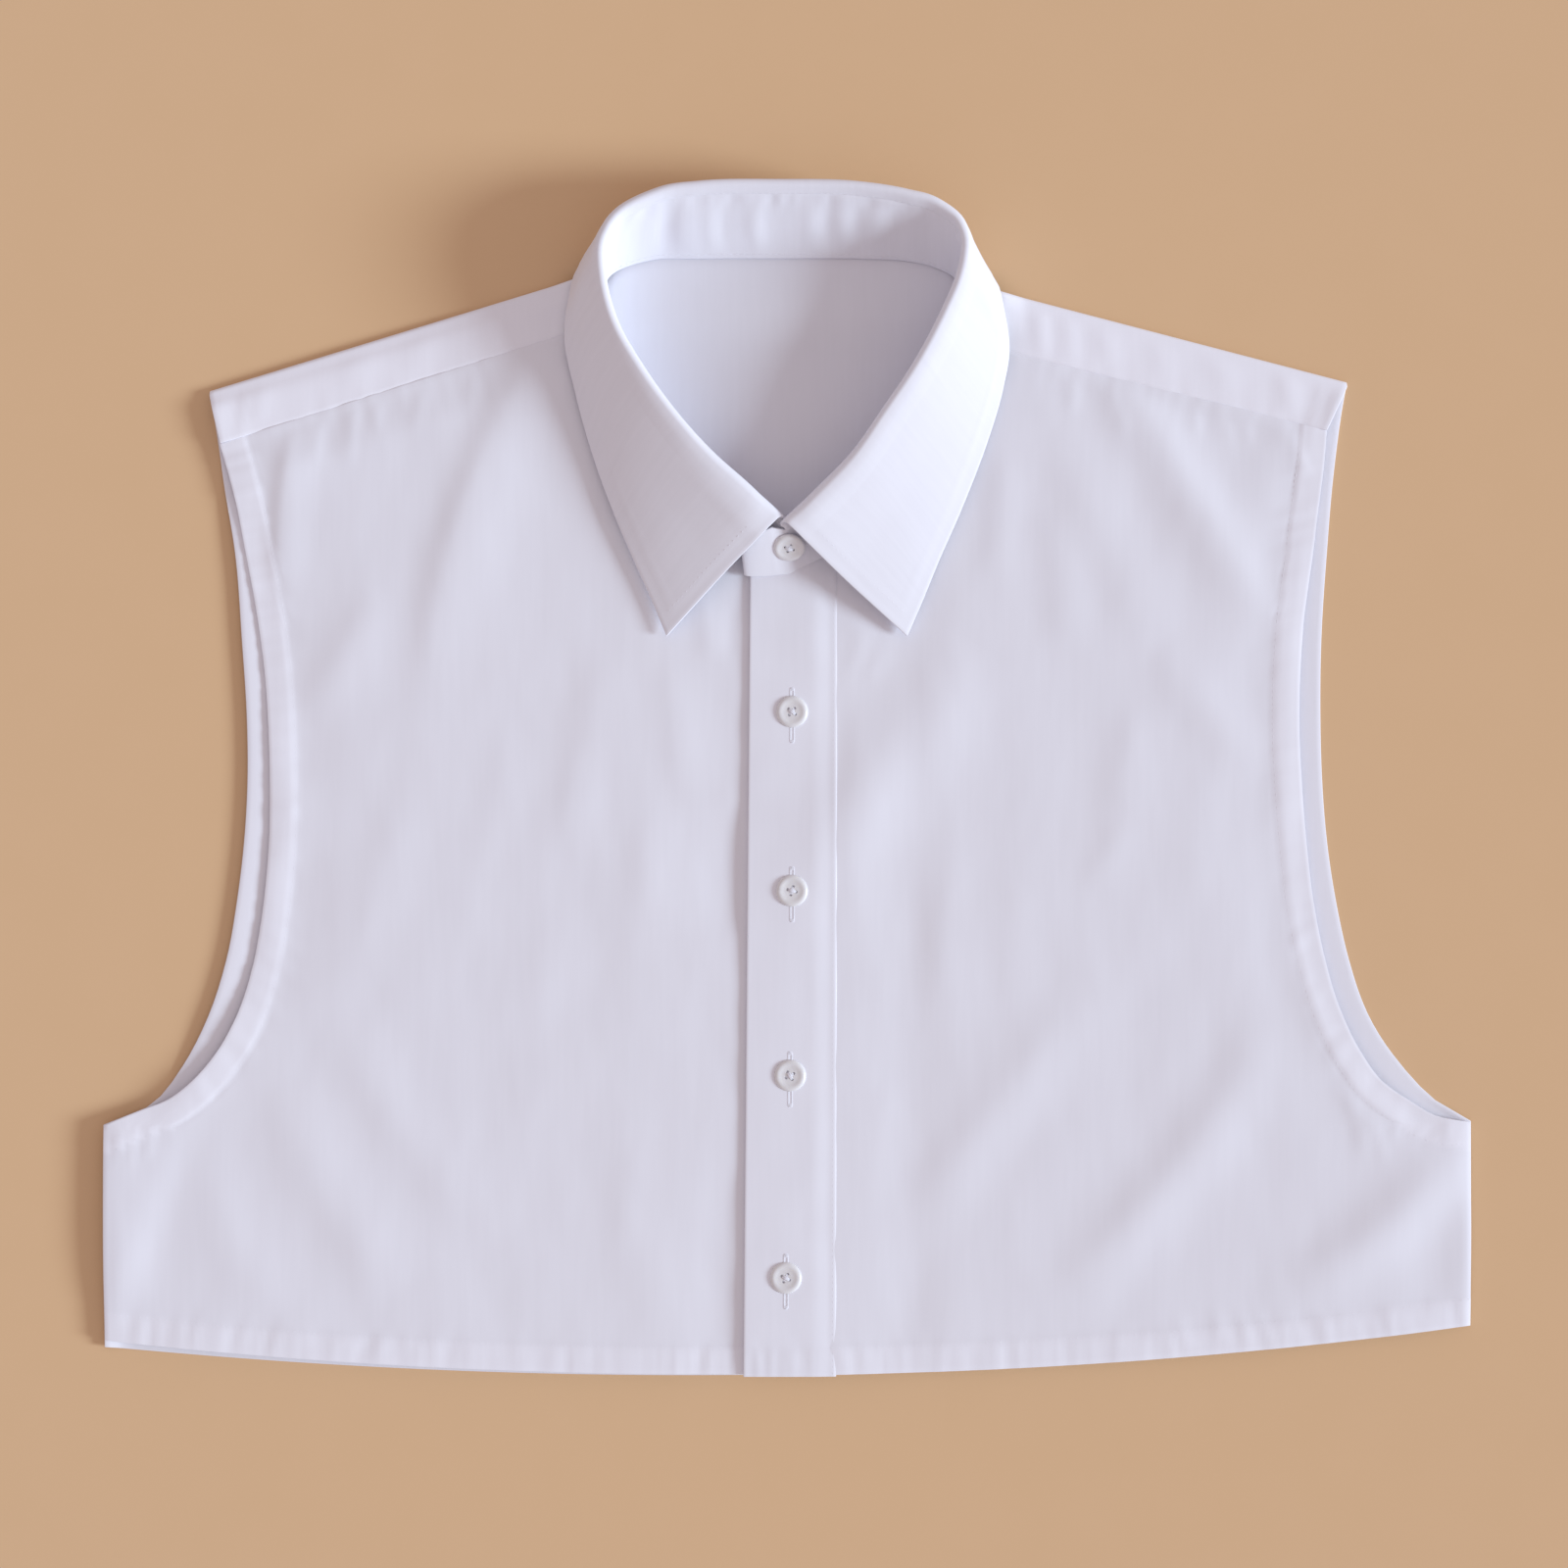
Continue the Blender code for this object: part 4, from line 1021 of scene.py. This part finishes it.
# one layer over the floor, two at the armhole hems and on the shoulders
backX = wholeBack[:, :, 0]
fromArmholes = np.minimum(backX - backX[:, :1], backX[:, -1:] - backX)
backLayers = ease(*back["hemBand"], fromArmholes) + back["whiter"]["single"]
backLayers[len(body) :] = back["whiter"]["strips"]
backUv = wholeBack[:, :, :2].copy()
backUv[len(body) :, :, 1] = 2 * wholeBack[len(body) - 1, :, 1] - wholeBack[len(body) :, :, 1]
backSheet, _ = clothSheet(
    "back_cloth", wholeBack, backUv, back["wall"], panelCloth, flip=True, layered=backLayers,
    keep=lambda row, column: row < lowerRows
    or column < sideColumns
    or column >= sideColumns + back["neckColumns"],
)
print("back made")

standGrid, tabRows = standPoints(collarRows)
standUv = arcUv(standGrid, 0)
standNormal = gridNormals(standGrid)
upShare = np.linspace(0.0, 1.0, standGrid.shape[1])
behindNeck = ease(*collar["nape"], standGrid[:, :, 1])
along = standUv[:, :, 0] + 2.0 * np.sin(3.0 * upShare)
gathers = collar["gather"] * ripple(along, collar["gatherPitch"], 1.3) * np.sin(math.pi * upShare)
teeth = collar["tooth"] * ripple(along, collar["toothPitch"], 4.0)
teeth = teeth * bell(1.0 - upShare, collar["toothReach"]) * ease(1.0, 0.97, upShare)
standGrid = standGrid + (behindNeck * (gathers + teeth))[:, :, None] * standNormal
leafGrid = leafPoints(collarRows)
leafNormal = gridNormals(leafGrid)
fallFrom = collar["fallFrom"]
leafEdges = (leafGrid[:, -1], leafGrid[0, fallFrom:], leafGrid[-1, fallFrom:])
toEdge = [edgeDistance(leafGrid, line) for line in (leafEdges[0][::3], *leafEdges[1:])]
toEdge = np.minimum.reduce(toEdge)
puff = collar["puff"] * bell(toEdge - collar["topstitch"] * 0.5, 2.0)
sunk = collar["sink"] * bell(toEdge - collar["topstitch"], 0.7)
leafRelief = ease(*collar["flatColumns"], np.arange(leafGrid.shape[1]))[None, :] * (puff - sunk)
leafUv = arcUv(leafGrid, 8)
leafGrid = leafGrid + leafRelief[:, :, None] * leafNormal
leafSheet, leafTree = clothSheet(
    "collar_leaf_cloth", leafGrid, leafUv, collar["wall"], collarCloth, offset=0.0, rim=0.35
)
standSheet, _ = clothSheet(
    "collar_stand_cloth", standGrid, standUv, collar["wall"], collarCloth, offset=0.0, rim=0.3
)
print("collar made")


# ---- the placket

placket = {
    "leftX": (-15.7, -13.3),  # at the hem and at the top
    "rightX": (17.3, 17.7),
    "bottomY": -213.6,
    "topY": 71.2,
    "rows": 190,
    "columns": 34,
    "wall": 0.55,
    "stand": 0.7,  # its face above the front it is sewn on
    "rightStand": 0.06,
    "ridge": 0.11,
    "ridgeWidth": 0.7,
    "ridgeInset": 1.2,
    "slow": (16.0, 0.2),
    "hemShare": 0.6,
    "whiter": 0.2,
    "topEdge": ((-16.0, 1.0, 15.9, 17.7), (72.3, 72.6, 79.8, 81.0)),  # tucked under the stand
}


def placketPoints():
    share = np.linspace(0.0, 1.0, placket["rows"] + 1)[:, None]
    across = np.linspace(0.0, 1.0, placket["columns"] + 1)
    (leftLow, leftHigh), (rightLow, rightHigh) = placket["leftX"], placket["rightX"]
    leftX, rightX = leftLow + (leftHigh - leftLow) * share, rightLow + (rightHigh - rightLow) * share
    x = leftX + (rightX - leftX) * across
    y = placket["bottomY"] + (placket["topY"] - placket["bottomY"]) * share
    y = y + ease(0.85, 1.0, share) * (np.interp(x, *placket["topEdge"]) - placket["topY"])
    fromRight = rightX - x
    left, right = placket["stand"], placket["rightStand"]
    ridge = placket["ridge"] * bell(fromRight - placket["ridgeInset"], placket["ridgeWidth"])
    z = frontTop(leftFrontFolds, x, y) + layers["lapRise"] * ease(*layers["lapClimb"], x)
    z = z + right + (left - right) * ease(0.0, 9.0, fromRight) + ridge
    z = z + undulation(x, y, *placket["slow"], 9.0)
    z = z + placket["hemShare"] * hemRelief(y - placket["bottomY"], x + 300.0, 3.0)
    return np.stack([x, y, z], axis=-1)


placketGrid = placketPoints()
placketSheet, placketTree = clothSheet(
    "placket_cloth", placketGrid, placketGrid[:, :, :2], placket["wall"], panelCloth,
    layered=placket["whiter"],
)
print("placket made")


# ---- buttons and buttonholes

button = {
    "radius": 5.75,
    "thickness": 1.9,
    "sunk": 0.95,  # the thread pulls it into the cloth
    "holeRadius": 0.54,
    "holeSpacing": 1.05,  # from the middle to each hole along x and y
    "strands": 3,
    "strandRadius": 0.19,
    "strandPitch": 1.7,  # of its radius
    "strandLift": (0.12, 0.34),  # over the button's middle, for the lower and the upper strands
    "thread": {"length": 3.465, "radius": 0.19, "sink": 0.5},
    "steps": 48,
}
# shares of the radius and of the thickness, from the underside round the rim to the middle
buttonProfile = (
    (0, 0), (0.78, 0), (0.9, 0.08), (0.97, 0.24), (1, 0.42), (0.99, 0.58), (0.955, 0.74),
    (0.9, 0.88), (0.83, 0.97), (0.76, 1), (0.69, 0.985), (0.62, 0.94), (0.54, 0.88),
    (0.42, 0.84), (0, 0.82),
)


def buttonBody(name, place):
    bm = bmesh.new()
    line = [
        bm.verts.new((r * button["radius"], 0.0, z * button["thickness"])) for r, z in buttonProfile
    ]
    edges = [bm.edges.new(pair) for pair in zip(line, line[1:])]
    turn = {"cent": (0.0, 0.0, 0.0), "axis": (0.0, 0.0, 1.0), "angle": 2.0 * math.pi}
    bmesh.ops.spin(bm, geom=line + edges, steps=button["steps"], use_merge=True, **turn)
    bmesh.ops.remove_doubles(bm, verts=bm.verts, dist=0.001)
    bmesh.ops.recalc_face_normals(bm, faces=bm.faces)
    disc = newPiece(name, bm, pearlWithPaintedShade)
    bm = bmesh.new()
    hole = {"radius1": button["holeRadius"], "radius2": button["holeRadius"], "depth": 6.0}
    for x in (-button["holeSpacing"], button["holeSpacing"]):
        for y in (-button["holeSpacing"], button["holeSpacing"]):
            at = Matrix.Translation((x, y, 0.5))
            bmesh.ops.create_cone(bm, cap_ends=True, segments=20, matrix=at, **hole)
    drill = newPiece(name + "_drill", bm, pearlWithPaintedShade)
    cut = disc.modifiers.new("holes", "BOOLEAN")
    cut.operation, cut.object, cut.solver = "DIFFERENCE", drill, "EXACT"
    bpy.context.view_layer.update()
    holed = bpy.data.meshes.new_from_object(disc.evaluated_get(bpy.context.evaluated_depsgraph_get()))
    disc.modifiers.clear()
    disc.data = holed
    bpy.data.objects.remove(drill)
    holed.shade_smooth()
    holed.set_sharp_from_angle(angle=math.radians(40))
    holed.transform(place)
    return disc


def buttonThread(name, place):
    # strands in a cross from hole to hole, over the middle
    run = []
    turned = np.array(place.to_3x3()) / mm
    level = buttonProfile[-1][1] * button["thickness"]
    for turn, lift in zip((math.pi / 4, -math.pi / 4), button["strandLift"]):
        along = np.array([math.cos(turn), math.sin(turn), 0.0])
        side = np.array([-along[1], along[0], 0.0])
        for strand in range(button["strands"]):
            fromMiddle = strand - (button["strands"] - 1) / 2
            shift = fromMiddle * button["strandPitch"] * button["strandRadius"]
            at = side * shift + np.array([0.0, 0.0, level + lift])
            spot = fromFrame(place @ Vector(at.tolist()))
            run.append((spot, unit(turned @ along), unit(turned @ upward)))
    return stitchMesh(name, [run], button["thread"])


# x, y and how far each was turned as it was sewn
buttonPlaces = {
    "button_1": (1.6, 23.1, 0.1),
    "button_2": (1.6, -40.6, 0.5),
    "button_3": (0.9, -106.4, -0.25),
    "button_4": (-0.6, -178.4, 0.3),
}
buttonhole = {
    "above": 8.0,  # from the button's middle to the upper end
    "below": 10.6,
    "halfWidth": 0.62,
    "pitch": 0.34,
    "edging": {"length": 0.9, "radius": 0.15, "sink": 0.14},
    "bars": {"length": 1.7, "radius": 0.15, "sink": 0.12},
}


def placketTop(x, y):
    at = toFrame(np.array([x, y, 0.0]))
    return fromFrame(lookDown(placketTree, at[0], at[1])[0])


def placeOf(x, y, height, tilt, turned):
    at = Matrix.Translation(toFrame(np.array([x, y, height])).tolist())
    return at @ Matrix.Rotation(tilt, 4, "X") @ Matrix.Rotation(turned, 4, "Z") @ Matrix.Scale(mm, 4)


seats = {}
for name, (x, y, turned) in buttonPlaces.items():
    seats[name] = placeOf(x, y, placketTop(x, y)[2] - button["sunk"], 0.0, turned)
lastFoot, lastFold, _, _, _, lastOut, _, _ = (part[-1] for part in collarFrames(collarRows))
seat = lastFoot + collar["buttonHeight"] * (lastFold - lastFoot)
seat[0] = collar["buttonX"]
seat = seat + (collar["wall"] / 2 - button["sunk"]) * lastOut
seats["button_collar"] = placeOf(*seat, math.atan2(-lastOut[1], lastOut[2]), 0.4)
for name, place in seats.items():
    declare(buttonBody(name + "_pearl", place), name)
for name, place in seats.items():
    declare(buttonThread(name + "_thread", place))
print("buttons made")


def buttonholeRuns(x, y):
    # two close rows of satin stitch beside the slit, and a bar at each end
    rows, bars = [], []
    count = round((buttonhole["above"] + buttonhole["below"]) / buttonhole["pitch"])
    for step in range(count + 1):
        yHere = y - buttonhole["below"] + step * buttonhole["pitch"]
        for side in (-1, 1):
            at = placketTop(x + side * buttonhole["halfWidth"], yHere) + 0.03 * upward
            slant = 0.12 * math.sin(7.3 * step + side)
            rows.append((at, unit(np.array([1.0, slant, 0.0])), upward))
    for end in (-buttonhole["below"], buttonhole["above"]):
        for step in range(4):
            at = placketTop(x, y + end) + (0.0, (step - 1.5) * 0.3, 0.06)
            bars.append((at, np.array([1.0, 0.0, 0.0]), upward))
    return rows, bars


bothRuns = zip(*(buttonholeRuns(x, y) for x, y, _ in buttonPlaces.values()))
for part, runs in zip(("edging", "bars"), bothRuns):
    declare(stitchMesh("buttonhole_" + part, runs, buttonhole[part]))
print("buttonholes made")


# ---- stitching

def stitchesAlong(line, ups):
    # the same on a line whose own outward directions are known
    spots = evenly(np.concatenate([line, ups], axis=1), sewing["pitch"] / 2)
    directions = unit(np.gradient(spots[:, :3], axis=0))
    return [(spot[:3], ahead, unit(spot[3:])) for spot, ahead in zip(spots[1::2], directions[1::2])]


stitching = {}
for side, points, tree, tip in (
    ("right", right, rightTree, rightTip), ("left", left, leftTree, leftTip)
):
    hems = ((points[tip:-4, -1], points[tip:-4, -12]), (points[0], points[5]))
    lines = [insetLine(*line, hem["width"]) for line in hems]
    stitching["front_" + side] = [stitchesOn(tree, line) for line in lines]

inward = -collarFrames(collarRows)[5]
stitching["stand"] = []
for column in (1, collar["standColumns"]):
    line = standGrid[tabRows : tabRows + len(collarRows), column] + collar["standStitch"] * inward
    behindHere = line[:, 1] > collar["nape"][0]
    stitching["stand"].append(stitchesAlong(line[behindHere], inward[behindHere]))

rightRidge = placketGrid[:, -1] - (placket["ridgeInset"], 0.0, 0.0)
stitching["placket"] = [stitchesOn(placketTree, rightRidge)]

inner = (leafGrid[:, -4], leafGrid[3, fallFrom:], leafGrid[-4, fallFrom:])
stitching["leaf"] = []
for edge, inside in zip((leafGrid[:, -1], leafGrid[0, fallFrom:], leafGrid[-1, fallFrom:]), inner):
    run = stitchesOn(leafTree, insetLine(edge, inside, collar["topstitch"]), fromAbove=False)
    for line in leafEdges:
        run = [s for s in run if edgeDistance(s[0][None, None], line)[0, 0] > collar["stitchClear"]]
    stitching["leaf"].append([(at + collar["stitchLift"] * up, way, up) for at, way, up in run])

for part, runs in stitching.items():
    declare(stitchMesh("stitching_" + part, runs))
print("stitching made")


# ---- each sheet takes its part's place; the finish slot, the size it was cut to, its flat area and what it lies on are listed beside it but not used

for sheet, node, slot, flat, area, under in (
    (backSheet, "back", "white_poplin", (0.488, 0.419), 0.1632, []),
    (rightSheet, "front_right", "white_poplin", (0.260, 0.378), 0.0745, ["back"]),
    (leftSheet, "front_left", "white_poplin", (0.259, 0.372), 0.0724, ["back"]),
    (placketSheet, "placket", "white_poplin", (0.033, 0.293), 0.0093, ["front_left"]),
    (standSheet, "collar_stand", "white_poplin_interlined",
     (0.420, 0.030), 0.0094, ["front_left", "back"]),
    (leafSheet, "collar_leaf", "white_poplin_interlined",
     (0.450, 0.080), 0.0182, ["front_right", "front_left", "collar_stand"]),
):
    declare(sheet, node)


# ---- floor, light and camera

studio = {
    "floorColours": ("#dbb890", "#ddba93"),
    "mottleSize": 25.0,
    "floorSize": 4.0,
    "keyHeight": 19.5,  # degrees above the floor
    "keyBearing": -9.0,  # degrees from +X
    "keySpread": 16.0,  # degrees across, for soft edges
    "keyColour": "#dff1ff",
    "keyStrength": 3.36,
    "skyColour": "#fff0f3",
    "skyStrength": 0.565,
    "cameraHeight": 1.322,
    "cameraX": -0.00124,
    "cameraY": -0.00092,
    "lens": 85.0,
}


def paperFloor():
    # uncoated pale paper: dead matt, with a hardly visible fibre mottle
    surface = {"Roughness": 0.95, "Specular IOR Level": 0.1}
    fibres = {"Scale": 1 / (studio["mottleSize"] * mm), "Detail": 5.0}
    return mottled("pale_paper", surface, fibres, *studio["floorColours"])


bm = bmesh.new()
bmesh.ops.create_grid(bm, x_segments=1, y_segments=1, size=studio["floorSize"] / 2)
floor = newPiece("floor", bm, paperFloor())
floor.location.z = -0.0001

light = bpy.data.lights.new("softbox", "SUN")
light.angle, light.energy = math.radians(studio["keySpread"]), studio["keyStrength"]
light.color = linear(studio["keyColour"])[:3]
lamp = bpy.data.objects.new("softbox", light)
height, bearing = math.radians(studio["keyHeight"]), math.radians(studio["keyBearing"])
lamp.location = (
    math.cos(height) * math.cos(bearing), math.cos(height) * math.sin(bearing), math.sin(height)
)
lamp.rotation_euler = lamp.location.to_track_quat("Z", "Y").to_euler()
bpy.context.scene.collection.objects.link(lamp)

world = bpy.data.worlds.new("room")
world.use_nodes = True
sky = world.node_tree.nodes["Background"]
sky.inputs["Color"].default_value = linear(studio["skyColour"])
sky.inputs["Strength"].default_value = studio["skyStrength"]
bpy.context.scene.world = world
bpy.context.scene.view_settings.view_transform = "Standard"

camera = bpy.data.cameras.new("above")
camera.lens, camera.sensor_width = studio["lens"], 36.0
eye = bpy.data.objects.new("above", camera)
eye.location = (studio["cameraX"], studio["cameraY"], studio["cameraHeight"])
bpy.context.scene.collection.objects.link(eye)
bpy.context.scene.camera = eye
print("studio made")
